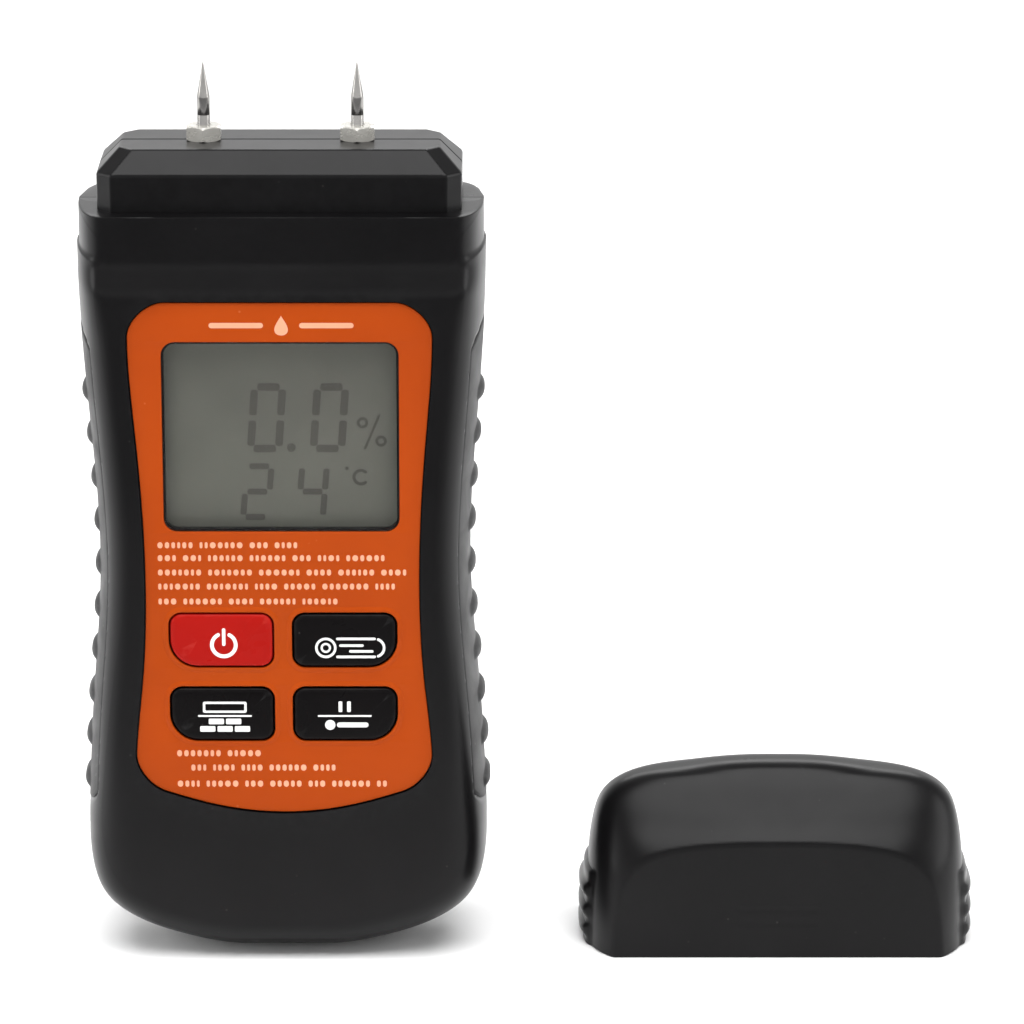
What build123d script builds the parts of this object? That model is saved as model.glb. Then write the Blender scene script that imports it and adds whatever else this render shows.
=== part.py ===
from build123d import *
from math import radians, tan
import os

os.makedirs("parts", exist_ok=True)

# A hand-held pin moisture meter, standing upright beside its protective cap.
# Millimetres. +Z is up, the face with the display looks towards -Y, and the two
# shells meet on the plane Y = 0. The origin is the centre of the small flat foot.

# ---- Housing ----
BODY_DEPTH = 14.8          # parting plane to the front or the back face
SHELL_SKIN = 2.2           # wall of the front and back faces
SIDE_WALL = 3.1            # side wall, grip pocket included
EDGE_ROUND = 3.0
FOOT_HALF = 7.0
HEEL = [(17.0, 1.6), (26.2, 5.1), (31.0, 9.2), (33.2, 17.0)]
SIDE = [(33.1, 27.0), (32.4, 40.0), (30.6, 65.5), (32.1, 95.0), (33.3, 120.7)]
SEAM_Z = SIDE[-1][1]
SHOULDER_Z = 127.2
COLLAR_HALF = 33.0
COLLAR_DEPTH = 13.0
COLLAR_ROUND = 3.0
HEAD_HALF = 29.5
HEAD_DEPTH = 11.0
HEAD_CORNER = 2.3
HEAD_BREAK_Z = 133.2
HEAD_TOP_Z = 136.9
HEAD_TOP_HALF = 25.8
HEAD_TOP_DEPTH = 7.75
HEAD_WALL = 2.4
CAVITY_TOP_Z = 118.5

# ---- Side grips ----
GRIP_THICKNESS = 1.5
GRIP_DEPTH = 8.6
GRIP_LOW_Z = 25.0
GRIP_HIGH_Z = 108.0
RIB_COUNT = 10
RIB_LOW_Z = 28.5
RIB_HIGH_Z = 95.4
RIB_HEIGHT = 3.0
RIB_PROUD = 0.8
RIB_SPAN = 80.0            # wider than the body, so that a band crosses it whole

# ---- Face plate and display ----
PLATE_FRONT = -14.4
LIP_FRONT = -14.65         # raised lip of the plate round each key
LIP_WIDTH = 0.8
PLATE_BACK = -13.75
PLATE_TOP_Z = 113.1
PLATE_BOTTOM_Z = 26.4
PLATE_TOP_FLAT = 18.6
PLATE_SIDE = [(24.6, 107.3), (23.5, 90.0), (22.35, 66.0), (23.1, 49.0), (24.3, 36.6)]
PLATE_HIP = (19.4, 30.0)
PLATE_CHIN = (10.5, 27.5)
FIT_GAP = 0.12             # between a part and the pocket it is stuck into
WINDOW_WIDTH = 38.3
WINDOW_HEIGHT = 31.8
WINDOW_Z = 90.6
WINDOW_ROUND = 2.2
SIGHT_MARGIN = 0.9         # ledge that carries the window all round
LCD_WIDTH = 43.0
LCD_HEIGHT = 36.0
LCD_FRONT = -11.4
LCD_BACK = -9.0
FRAME_FRONT = -12.2
FRAME_BACK = -7.7
FRAME_WALL = 1.5
FRAME_LIP = 1.6
STRIP_HEIGHT = 2.2
STRIP_WIDTH = 40.0
LIGHT_WIDTH = 38.0
LIGHT_HEIGHT = 28.0
LIGHT_FRONT = -8.9

# ---- Keys ----
KEY_WIDTH = 16.7
KEY_HEIGHT = 8.9
KEY_SMALL_ROUND = 1.9
KEY_BIG_ROUND = 4.8
KEY_X = 10.1
KEY_UPPER_Z = 56.2
KEY_LOWER_Z = 43.5
KEY_GAP = 0.3
KEY_FRONT = -15.0
KEY_FLANGE = 1.0
FLANGE_FRONT = -12.1
FLANGE_BACK = -11.3
STEM_BACK = -9.6
STEM_WIDTH = 9.0
STEM_HEIGHT = 5.6
PILL_RADIUS = 2.3
PILL_BACK = -9.0
MAT_FRONT = -8.8
MAT_WIDTH = 42.6
MAT_HEIGHT = 28.6
MAT_OPENING = 1.4          # opening beyond the key outline, all round
CONTACT_THICKNESS = 0.1
KEYS = {
    "power": (-KEY_X, KEY_UPPER_Z),
    "wood": (KEY_X, KEY_UPPER_Z),
    "wall": (-KEY_X, KEY_LOWER_Z),
    "hold": (KEY_X, KEY_LOWER_Z),
}

# ---- Circuit board and what stands on its back ----
BOARD_FRONT = -7.6
BOARD_BACK = -6.0
BOARD_WIDTH = 45.0
BOARD_LOW_Z = 21.0
BOARD_HIGH_Z = 117.5
CONTROLLER = (10.0, 1.6, 10.0)
CONTROLLER_AT = (9.0, 101.0)
AMPLIFIER = (5.0, 1.5, 4.0)
AMPLIFIER_AT = (12.5, 89.0)
BUZZER_RADIUS = 6.0
BUZZER_DEPTH = 5.5
BUZZER_AT = (-9.0, 99.0)
CAPACITOR_RADIUS = 2.0
CAPACITOR_DEPTH = 5.2
CAPACITOR_X = [-18.5, 18.5]
CAPACITOR_Z = 90.0
TRIMMER = (6.5, 4.6, 6.5)
TRIMMER_AT = (18.0, 101.0)
SENSOR_RADIUS = 1.6
SENSOR_LENGTH = 5.0
SENSOR_AT = (0.0, 112.0)
CHIP_PART = (2.0, 0.6, 1.25)
CHIP_PARTS_X = [-20.0, -17.2, 17.2, 20.0]
CHIP_PARTS_Z = [40.0, 52.0, 64.0, 76.0]

# ---- Fasteners ----
CASE_SCREW_AT = [(-26.3, 112.0), (26.3, 112.0), (-26.0, 16.6), (26.0, 16.6)]
CASE_BOSS_RADIUS = 3.1
CASE_SCREW_RADIUS = 1.3
CASE_HEAD_RADIUS = 2.4
CASE_HEAD_SEAT = 11.6      # depth of the shoulder that the screw head pulls on
CASE_HEAD_HEIGHT = 1.7
CASE_HEAD_PLAY = 0.3
CASE_SCREW_TIP = -8.5
BOSS_GAP = 0.2             # bosses stop this far short of the parting plane
BOARD_SCREW_AT = [(-19.5, 113.6), (19.5, 113.6), (-19.0, 26.0), (19.0, 26.0)]
BOARD_BOSS_RADIUS = 2.3
BOARD_SCREW_RADIUS = 1.0
BOARD_HEAD_RADIUS = 1.9
BOARD_HEAD_HEIGHT = 1.2
BOARD_SCREW_TIP = -11.0
DRIVE_WIDTH = 0.5
DRIVE_DEPTH = 0.8
DRIVE_SPAN = 0.7           # length of the cross recess as a share of the head's width

# ---- Measuring pins ----
PIN_X = 12.45
PIN_RADIUS = 1.08
PIN_TIP_Z = 149.6
PIN_TAPER_Z = 143.9
PIN_TIP_RADIUS = 0.12
PIN_LOW_Z = 130.0
NUT_FLATS = 5.5
NUT_TURN = 30              # degrees; turns one corner of each nut to the front
NUT_HEIGHT = 2.4
NUT_CHAMFER = 0.35
SOCKET_RADIUS = 2.1
SOCKET_LOW_Z = 129.0
SOCKET_BOSS_RADIUS = 4.0
SOCKET_BOSS_LOW_Z = 128.6
TAB_WIDTH = 3.0
TAB_THICKNESS = 0.6
TAB_BEND_Z = 121.0
TAB_LANDING_Z = 117.6
TAB_LOW_Z = 114.8

# ---- Battery, its bay and its door ----
BATTERY = (26.2, 17.4, 48.4)
BATTERY_LOW_Z = 21.8
BATTERY_FRONT = -4.6
BATTERY_ROUND = 1.8
BAY_HALF = 14.3
BAY_WALL = 1.2
BAY_LOW_Z = 20.6
BAY_HIGH_Z = 82.0
BAY_FLOOR_BACK = -4.8
BAY_FLOOR_FRONT = -5.6
BAY_RIM = 12.8
FOAM_THICKNESS = 1.1
TERMINAL_SPACING = 6.35
TERMINAL_HEIGHT = 2.8
STUD_RADIUS = 2.8
CLIP = (24.0, 12.5, 3.6)
CLIP_LOW_Z = 70.6
STUD_POCKET_RADIUS = 3.0
LEAD_RADIUS = 0.7
LEAD_HOLE_RADIUS = 1.1
LEAD_HOLE_LENGTH = 4.0     # more than the wall of the bay that it goes through
LEAD_BEND_SHARE = 0.45     # of the shorter run, taken up by the bend
LEAD_X = 6.0
LEAD_RISE_Z = 86.0
LEAD_END_Z = 91.0
DOOR_HALF = 15.8
DOOR_INNER = 13.1
DOOR_OUTER = 14.8
DOOR_TOP_Z = 82.6
DOOR_GAP = 0.28
DOOR_AXIS_Y = 13.95
DOOR_AXIS_Z = 20.0
DOOR_PIN_RADIUS = 0.6
DOOR_PIN_HOLE = 0.68
DOOR_PIN_REACH = 1.3
DOOR_EYE_LENGTH = 1.7
SEAT_HALF = 17.5           # frame inside the back face that the door rests over
SEAT_LOW_Z = 17.2
SEAT_HIGH_Z = 84.3
SEAT_FRONT = 11.4
DOOR_TONGUE_HALF = 6.0
DOOR_TONGUE_LENGTH = 9.0
DOOR_SLOT = 0.8
DOOR_RIDGES = 4
DOOR_RIDGE_PITCH = 1.6
DOOR_RIDGE_DEPTH = 0.5
DOOR_RIDGE_HALF = 4.8

# ---- Protective cap, standing on its rim beside the meter ----
CAP_X = 81.8
CAP_DEPTH = 13.0
CAP_SIDE = [(32.5, 0.0), (32.3, 9.5), (32.0, 13.0), (31.4, 14.0)]
CAP_CROWN = [(30.5, 21.0), (26.6, 27.7), (17.0, 30.1)]
CAP_TOP_Z = 31.0
CAP_FACE_Z = 20.0          # top of the upright front face on the centre line
CAP_CREST_DEPTH = 5.0
CAP_CREST_Z = 30.2
CAP_CORNER = 5.0
CAP_CAVITY_HALF = 29.9
CAP_CAVITY_DEPTH = 11.4
CAP_CAVITY_Z = 10.6
CAP_CAVITY_TOP_HALF = 21.0
CAP_CAVITY_TOP_DEPTH = 5.6
CAP_CAVITY_TOP_Z = 27.6
CAP_WALL_HALF = 31.4       # outer face of each flat side wall
CAP_PAD_REACH = 32.3       # face of the low pad near the rim that carries the ribs
CAP_PAD_DEPTH = 8.0
CAP_PAD_HEIGHT = 13.0
CAP_RIB_Z = [2.7, 6.1, 9.7]
CAP_RIB_HEIGHT = 2.0
CAP_RIB_REACH = 33.1


def depth_plane(depth):
    """The upright plane at Y = depth. A positive extrude from it goes to the front."""
    return Plane.XZ.offset(-depth)


def grown(points, grow, half_width, low_z, high_z):
    """Move outline points away from the middle, by grow at the widest and the ends."""
    middle = (low_z + high_z) / 2
    half_height = (high_z - low_z) / 2
    return [
        (x + grow * x / half_width, z + grow * (z - middle) / half_height)
        for x, z in points
    ]


def body_outline(grow=0.0):
    """The hourglass outline below the seam, grown or shrunk all round."""
    points = grown([(FOOT_HALF, 0), *HEEL, *SIDE], grow, COLLAR_HALF, 0, SEAM_Z)
    with BuildSketch() as outline:
        with BuildLine():
            Line((0, points[0][1]), points[0])
            Spline(*points, tangents=[(1, 0), (0, 1)])
            Line(points[-1], (0, points[-1][1]))
            mirror(about=Plane.YZ)
        make_face()
    return outline.sketch


def plate_outline(grow=0.0):
    """The face plate: round top corners, a waist and a shallow curved lower end."""
    corners = [(PLATE_TOP_FLAT, PLATE_TOP_Z), *PLATE_SIDE, PLATE_HIP, PLATE_CHIN]
    corners = grown(corners, grow, PLATE_SIDE[0][0], PLATE_BOTTOM_Z, PLATE_TOP_Z)
    top, *side, hip, chin = corners
    bottom = (0, PLATE_BOTTOM_Z - grow)
    with BuildSketch() as outline:
        with BuildLine():
            Line((0, top[1]), top)
            Spline(top, side[0], tangents=[(1, 0), (0, -1)])
            edge = Spline(*side, tangents=[(0, -1), (0.05, -1)])
            turn = Spline(edge @ 1, hip, tangents=[edge % 1, (-1, -0.32)])
            Spline(turn @ 1, chin, bottom, tangents=[turn % 1, (-1, 0)])
            mirror(about=Plane.YZ)
        make_face()
    return outline.sketch


def window_outline(shrink=0.0):
    """The display window, with small round corners."""
    with BuildSketch() as outline:
        with Locations((0, WINDOW_Z)):
            RectangleRounded(
                WINDOW_WIDTH - 2 * shrink, WINDOW_HEIGHT - 2 * shrink, WINDOW_ROUND
            )
    return outline.sketch


def key_outline(centre, grow=0.0):
    """A key: three small corners and one large one, outermost and lowest."""
    with BuildSketch() as outline:
        with Locations(centre):
            Rectangle(KEY_WIDTH + 2 * grow, KEY_HEIGHT + 2 * grow)
        fillet(outline.vertices().group_by(Axis.Y)[-1], KEY_SMALL_ROUND + grow)
        outer = 0 if centre[0] < 0 else -1
        low = outline.vertices().group_by(Axis.Y)[0].sort_by(Axis.X)
        fillet(low[outer], KEY_BIG_ROUND + grow)
        low = outline.vertices().group_by(Axis.Y)[0].sort_by(Axis.X)
        fillet(low[-1 - outer], KEY_SMALL_ROUND + grow)
    return outline.sketch


def head_section(half, depth):
    """A rectangle across the head with its four corners cut off."""
    with BuildSketch() as section:
        Rectangle(2 * half, 2 * depth)
        chamfer(section.vertices(), HEAD_CORNER)
    return section.sketch


def housing():
    """Both shells in one piece: hollow body, collar, shoulder and head."""
    with BuildPart() as whole:
        with BuildSketch(depth_plane(BODY_DEPTH)):
            add(body_outline())
        extrude(amount=2 * BODY_DEPTH)
        ends = whole.faces().sort_by(Axis.Y)
        fillet(ends[0].edges() + ends[-1].edges(), EDGE_ROUND)
        with BuildSketch(Plane.XY.offset(CAVITY_TOP_Z)):
            RectangleRounded(2 * COLLAR_HALF, 2 * COLLAR_DEPTH, COLLAR_ROUND)
        extrude(amount=SHOULDER_Z - CAVITY_TOP_Z)
        with BuildSketch(Plane.XY.offset(SHOULDER_Z)):
            add(head_section(HEAD_HALF, HEAD_DEPTH))
        extrude(amount=HEAD_BREAK_Z - SHOULDER_Z)
        with BuildSketch(Plane.XY.offset(HEAD_BREAK_Z)):
            add(head_section(HEAD_HALF, HEAD_DEPTH))
        with BuildSketch(Plane.XY.offset(HEAD_TOP_Z)):
            add(head_section(HEAD_TOP_HALF, HEAD_TOP_DEPTH))
        loft()
        hollow = BODY_DEPTH - SHELL_SKIN
        with BuildSketch(depth_plane(hollow)):
            add(body_outline(-SIDE_WALL))
        extrude(amount=2 * hollow, mode=Mode.SUBTRACT)
        with BuildSketch(Plane.XY.offset(CAVITY_TOP_Z - SIDE_WALL)):
            Rectangle(2 * (HEAD_HALF - HEAD_WALL), 2 * (HEAD_DEPTH - HEAD_WALL))
        extrude(amount=HEAD_BREAK_Z - CAVITY_TOP_Z + SIDE_WALL, mode=Mode.SUBTRACT)
        with Locations((-PIN_X, 0, SOCKET_BOSS_LOW_Z), (PIN_X, 0, SOCKET_BOSS_LOW_Z)):
            Cylinder(
                SOCKET_BOSS_RADIUS,
                HEAD_TOP_Z - SOCKET_BOSS_LOW_Z,
                align=(Align.CENTER, Align.CENTER, Align.MIN),
            )
            Cylinder(
                SOCKET_RADIUS,
                HEAD_TOP_Z - SOCKET_BOSS_LOW_Z,
                align=(Align.CENTER, Align.CENTER, Align.MIN),
                mode=Mode.SUBTRACT,
            )
        for side in (-1, 1):
            with BuildSketch(depth_plane(GRIP_DEPTH)):
                add(grip_profile(side, with_ribs=False))
            extrude(amount=2 * GRIP_DEPTH, mode=Mode.SUBTRACT)
    return whole.part


def rib_bands():
    """The bands of the slightly grown outline that stand out as ribs."""
    with BuildSketch() as bands:
        pitch = (RIB_HIGH_Z - RIB_LOW_Z) / (RIB_COUNT - 1)
        with Locations(*[(0, RIB_LOW_Z + pitch * rib) for rib in range(RIB_COUNT)]):
            Rectangle(RIB_SPAN, RIB_HEIGHT)
        add(body_outline(RIB_PROUD), mode=Mode.INTERSECT)
    return bands.sketch


def grip_profile(side, with_ribs=True):
    """The side strip seen from the front; side is -1 for the left and 1 for the right."""
    with BuildSketch() as profile:
        add(body_outline())
        if with_ribs:
            add(rib_bands())
        add(body_outline(-GRIP_THICKNESS), mode=Mode.SUBTRACT)
        middle = (GRIP_LOW_Z + GRIP_HIGH_Z) / 2
        with Locations((side * COLLAR_HALF, middle)):
            Rectangle(COLLAR_HALF, GRIP_HIGH_Z - GRIP_LOW_Z, mode=Mode.INTERSECT)
    return profile.sketch


def block(name, size, centre, front):
    """Write a plain box standing on the board; size is across, deep and tall."""
    with BuildPart() as piece:
        with Locations((centre[0], front + size[1] / 2, centre[1])):
            Box(*size)
    save(piece, name)


def save(piece, name):
    """Label a finished piece and write its STEP file."""
    piece.part.label = name
    export_step(piece.part, f"parts/{name}.step")


# ---- The two shells ----
shells = housing()
skin_front = SHELL_SKIN - BODY_DEPTH
skin_back = BODY_DEPTH - SHELL_SKIN
battery_middle = BATTERY_FRONT + BATTERY[1] / 2

with BuildPart() as front_shell:
    add(shells)
    split(bisect_by=Plane.XZ, keep=Keep.TOP)
    with BuildSketch(depth_plane(-BOSS_GAP)):
        with Locations(*CASE_SCREW_AT):
            Circle(CASE_BOSS_RADIUS)
    extrude(amount=-skin_front - BOSS_GAP)
    with BuildSketch(depth_plane(BOARD_FRONT)):
        with Locations(*BOARD_SCREW_AT):
            Circle(BOARD_BOSS_RADIUS)
    extrude(amount=BOARD_FRONT - skin_front)
    with BuildSketch(depth_plane(-BOSS_GAP)):
        with Locations(*CASE_SCREW_AT):
            Circle(CASE_SCREW_RADIUS)
    extrude(amount=-BOSS_GAP - CASE_SCREW_TIP, mode=Mode.SUBTRACT)
    with BuildSketch(depth_plane(BOARD_FRONT)):
        with Locations(*BOARD_SCREW_AT):
            Circle(BOARD_SCREW_RADIUS)
    extrude(amount=BOARD_FRONT - BOARD_SCREW_TIP, mode=Mode.SUBTRACT)
    with BuildSketch(depth_plane(PLATE_BACK)):
        add(plate_outline(FIT_GAP))
    extrude(amount=PLATE_BACK + BODY_DEPTH, mode=Mode.SUBTRACT)
    with BuildSketch(depth_plane(skin_front)):
        add(window_outline(SIGHT_MARGIN))
        for centre in KEYS.values():
            add(key_outline(centre, KEY_GAP))
    extrude(amount=SHELL_SKIN, mode=Mode.SUBTRACT)
save(front_shell, "front_shell")

with BuildPart() as back_shell:
    add(shells)
    split(bisect_by=Plane.XZ, keep=Keep.BOTTOM)
    # Bosses for the case screws, with the heads sunk in the back face.
    with BuildSketch(depth_plane(skin_back)):
        with Locations(*CASE_SCREW_AT):
            Circle(CASE_BOSS_RADIUS)
    extrude(amount=skin_back - BOSS_GAP)
    with BuildSketch(depth_plane(BODY_DEPTH)):
        with Locations(*CASE_SCREW_AT):
            Circle(CASE_SCREW_RADIUS)
    extrude(amount=BODY_DEPTH, mode=Mode.SUBTRACT)
    with BuildSketch(depth_plane(BODY_DEPTH)):
        with Locations(*CASE_SCREW_AT):
            Circle(CASE_HEAD_RADIUS + CASE_HEAD_PLAY)
    extrude(amount=BODY_DEPTH - CASE_HEAD_SEAT, mode=Mode.SUBTRACT)
    # Door opening, the seat frame round it, and the battery bay.
    door_foot_z = DOOR_AXIS_Z - (DOOR_OUTER - DOOR_INNER) / 2
    with BuildSketch(depth_plane(BODY_DEPTH)):
        with Locations((0, (door_foot_z + DOOR_TOP_Z) / 2)):
            Rectangle(2 * (DOOR_HALF + DOOR_GAP), DOOR_TOP_Z - door_foot_z + 2 * DOOR_GAP)
    extrude(amount=SHELL_SKIN, mode=Mode.SUBTRACT)
    with BuildSketch(depth_plane(BAY_RIM)):
        with Locations((0, (SEAT_LOW_Z + SEAT_HIGH_Z) / 2)):
            Rectangle(2 * SEAT_HALF, SEAT_HIGH_Z - SEAT_LOW_Z)
    extrude(amount=BAY_RIM - SEAT_FRONT)
    bay_middle = (BAY_LOW_Z + BAY_HIGH_Z) / 2
    bay_height = BAY_HIGH_Z - BAY_LOW_Z
    with BuildSketch(depth_plane(BAY_RIM)):
        with Locations((0, bay_middle)):
            Rectangle(2 * (BAY_HALF + BAY_WALL), bay_height + 2 * BAY_WALL)
    extrude(amount=BAY_RIM - BAY_FLOOR_FRONT)
    with BuildSketch(depth_plane(BAY_RIM)):
        with Locations((0, bay_middle)):
            Rectangle(2 * BAY_HALF, bay_height)
    extrude(amount=BAY_RIM - BAY_FLOOR_BACK, mode=Mode.SUBTRACT)
    # Eyes for the door's pivot pins and holes for the battery leads.
    for side in (-1, 1):
        eye_middle = side * (DOOR_HALF + DOOR_GAP + DOOR_EYE_LENGTH / 2)
        with Locations(Location((eye_middle, DOOR_AXIS_Y, DOOR_AXIS_Z), (0, 90, 0))):
            Cylinder(DOOR_PIN_HOLE, DOOR_EYE_LENGTH, mode=Mode.SUBTRACT)
        with Locations((side * LEAD_X, battery_middle, BAY_HIGH_Z)):
            Cylinder(LEAD_HOLE_RADIUS, LEAD_HOLE_LENGTH, mode=Mode.SUBTRACT)
save(back_shell, "back_shell")

# ---- Soft grips down both sides ----
for side, name in ((-1, "left_grip"), (1, "right_grip")):
    with BuildPart() as grip:
        with BuildSketch(depth_plane(GRIP_DEPTH)):
            add(grip_profile(side))
        extrude(amount=2 * GRIP_DEPTH)
    save(grip, name)

# ---- Face plate with its raised key lips, and the window let into it ----
with BuildPart() as face_plate:
    with BuildSketch(depth_plane(PLATE_BACK)):
        add(plate_outline())
        add(window_outline(), mode=Mode.SUBTRACT)
    extrude(amount=PLATE_BACK - PLATE_FRONT)
    with BuildSketch(depth_plane(PLATE_FRONT)):
        for centre in KEYS.values():
            add(key_outline(centre, KEY_GAP + LIP_WIDTH))
    extrude(amount=PLATE_FRONT - LIP_FRONT)
    with BuildSketch(depth_plane(PLATE_BACK)):
        for centre in KEYS.values():
            add(key_outline(centre, KEY_GAP))
    extrude(amount=PLATE_BACK - LIP_FRONT, mode=Mode.SUBTRACT)
save(face_plate, "face_plate")

with BuildPart() as display_window:
    with BuildSketch(depth_plane(PLATE_BACK)):
        add(window_outline())
    extrude(amount=PLATE_BACK - PLATE_FRONT)
save(display_window, "display_window")

# ---- Display stack ----
with BuildPart() as lcd_frame:
    with BuildSketch(depth_plane(FRAME_BACK)):
        with Locations((0, WINDOW_Z)):
            Rectangle(LCD_WIDTH + 2 * FRAME_WALL, LCD_HEIGHT + 2 * FRAME_WALL)
            Rectangle(LCD_WIDTH, LCD_HEIGHT, mode=Mode.SUBTRACT)
    extrude(amount=FRAME_BACK - FRAME_FRONT)
    with BuildSketch(depth_plane(LCD_FRONT)):
        with Locations((0, WINDOW_Z)):
            Rectangle(LCD_WIDTH, LCD_HEIGHT)
            Rectangle(
                LCD_WIDTH - 2 * FRAME_LIP, LCD_HEIGHT - 2 * FRAME_LIP, mode=Mode.SUBTRACT
            )
    extrude(amount=LCD_FRONT - FRAME_FRONT)
save(lcd_frame, "lcd_frame")

with BuildPart() as lcd_glass:
    with BuildSketch(depth_plane(LCD_BACK)):
        with Locations((0, WINDOW_Z)):
            Rectangle(LCD_WIDTH - 2 * FIT_GAP, LCD_HEIGHT - 2 * FIT_GAP)
    extrude(amount=LCD_BACK - LCD_FRONT)
save(lcd_glass, "lcd_glass")

strip_offset = (LCD_HEIGHT - STRIP_HEIGHT) / 2 - FIT_GAP
with BuildPart() as contact_strips:
    with BuildSketch(depth_plane(BOARD_FRONT)):
        with Locations((0, WINDOW_Z - strip_offset), (0, WINDOW_Z + strip_offset)):
            Rectangle(STRIP_WIDTH, STRIP_HEIGHT)
    extrude(amount=BOARD_FRONT - LCD_BACK)
save(contact_strips, "contact_strips")

with BuildPart() as backlight:
    with BuildSketch(depth_plane(FRAME_BACK)):
        with Locations((0, WINDOW_Z)):
            RectangleRounded(LIGHT_WIDTH, LIGHT_HEIGHT, WINDOW_ROUND)
    extrude(amount=FRAME_BACK - LIGHT_FRONT)
save(backlight, "backlight")

# ---- Keys, their carbon pills, the mat that guides them and the board contacts ----
for key, centre in KEYS.items():
    with BuildPart() as cap_and_stem:
        with BuildSketch(depth_plane(FLANGE_FRONT)):
            add(key_outline(centre))
        extrude(amount=FLANGE_FRONT - KEY_FRONT)
        with BuildSketch(depth_plane(FLANGE_BACK)):
            add(key_outline(centre, KEY_FLANGE))
        extrude(amount=FLANGE_BACK - FLANGE_FRONT)
        with BuildSketch(depth_plane(STEM_BACK)):
            with Locations(centre):
                Rectangle(STEM_WIDTH, STEM_HEIGHT)
        extrude(amount=STEM_BACK - FLANGE_BACK)
    save(cap_and_stem, f"{key}_key")
    with BuildPart() as pill:
        with BuildSketch(depth_plane(PILL_BACK)):
            with Locations(centre):
                Circle(PILL_RADIUS)
        extrude(amount=PILL_BACK - STEM_BACK)
    save(pill, f"{key}_pill")

with BuildPart() as keypad_mat:
    with BuildSketch(depth_plane(BOARD_FRONT)):
        with Locations((0, (KEY_UPPER_Z + KEY_LOWER_Z) / 2)):
            RectangleRounded(MAT_WIDTH, MAT_HEIGHT, KEY_SMALL_ROUND)
        for centre in KEYS.values():
            add(key_outline(centre, MAT_OPENING), mode=Mode.SUBTRACT)
    extrude(amount=BOARD_FRONT - MAT_FRONT)
save(keypad_mat, "keypad_mat")

with BuildPart() as key_contacts:
    with BuildSketch(depth_plane(BOARD_FRONT)):
        with Locations(*KEYS.values()):
            Circle(PILL_RADIUS)
    extrude(amount=CONTACT_THICKNESS)
save(key_contacts, "key_contacts")

# ---- Circuit board and its components ----
with BuildPart() as main_board:
    with BuildSketch(depth_plane(BOARD_BACK)):
        with Locations((0, (BOARD_LOW_Z + BOARD_HIGH_Z) / 2)):
            Rectangle(BOARD_WIDTH, BOARD_HIGH_Z - BOARD_LOW_Z)
        with Locations(*BOARD_SCREW_AT):
            Circle(BOARD_SCREW_RADIUS, mode=Mode.SUBTRACT)
    extrude(amount=BOARD_BACK - BOARD_FRONT)
save(main_board, "main_board")

block("controller_chip", CONTROLLER, CONTROLLER_AT, BOARD_BACK)
block("amplifier_chip", AMPLIFIER, AMPLIFIER_AT, BOARD_BACK)
block("calibration_trimmer", TRIMMER, TRIMMER_AT, BOARD_BACK)

with BuildPart() as buzzer:
    with BuildSketch(depth_plane(BOARD_BACK)):
        with Locations(BUZZER_AT):
            Circle(BUZZER_RADIUS)
    extrude(amount=-BUZZER_DEPTH)
save(buzzer, "buzzer")

with BuildPart() as capacitors:
    with BuildSketch(depth_plane(BOARD_BACK)):
        with Locations(*[(x, CAPACITOR_Z) for x in CAPACITOR_X]):
            Circle(CAPACITOR_RADIUS)
    extrude(amount=-CAPACITOR_DEPTH)
save(capacitors, "capacitors")

with BuildPart() as temperature_sensor:
    with BuildSketch(depth_plane(BOARD_BACK)):
        with Locations(SENSOR_AT):
            Circle(SENSOR_RADIUS)
    extrude(amount=-SENSOR_LENGTH)
    fillet(temperature_sensor.edges().sort_by(Axis.Y)[-1], SENSOR_RADIUS / 2)
save(temperature_sensor, "temperature_sensor")

with BuildPart() as chip_parts:
    spots = [(x, z) for x in CHIP_PARTS_X for z in CHIP_PARTS_Z]
    with Locations(*[(x, BOARD_BACK + CHIP_PART[1] / 2, z) for x, z in spots]):
        Box(*CHIP_PART)
save(chip_parts, "chip_parts")


def screws(name, places, seat, tip, shank_radius, head_radius, head_height):
    """Write a set of like pan-head screws driven from the back, with cross recesses."""
    with BuildPart() as screw_set:
        with BuildSketch(depth_plane(seat)):
            with Locations(*places):
                Circle(shank_radius)
        extrude(amount=seat - tip)
        with BuildSketch(depth_plane(seat + head_height)):
            with Locations(*places):
                Circle(head_radius)
        extrude(amount=head_height)
        with BuildSketch(depth_plane(seat + head_height)):
            with Locations(*places):
                Rectangle(2 * head_radius * DRIVE_SPAN, DRIVE_WIDTH)
                Rectangle(DRIVE_WIDTH, 2 * head_radius * DRIVE_SPAN)
        extrude(amount=DRIVE_DEPTH, mode=Mode.SUBTRACT)
    save(screw_set, name)


screws(
    "case_screws", CASE_SCREW_AT, CASE_HEAD_SEAT, CASE_SCREW_TIP,
    CASE_SCREW_RADIUS, CASE_HEAD_RADIUS, CASE_HEAD_HEIGHT,
)
screws(
    "board_screws", BOARD_SCREW_AT, BOARD_BACK, BOARD_SCREW_TIP,
    BOARD_SCREW_RADIUS, BOARD_HEAD_RADIUS, BOARD_HEAD_HEIGHT,
)

# ---- Measuring pins, their nuts, brass sockets and the tabs down to the board ----
for side, name in ((-1, "left_pin"), (1, "right_pin")):
    with BuildPart() as pin:
        with BuildSketch(Plane.XZ):
            with BuildLine():
                Polyline(
                    (0, PIN_LOW_Z),
                    (PIN_RADIUS, PIN_LOW_Z),
                    (PIN_RADIUS, PIN_TAPER_Z),
                    (PIN_TIP_RADIUS, PIN_TIP_Z),
                    (0, PIN_TIP_Z),
                    close=True,
                )
            make_face()
        revolve(axis=Axis.Z)
    pin.part.position = (side * PIN_X, 0, 0)
    save(pin, name)

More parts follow.
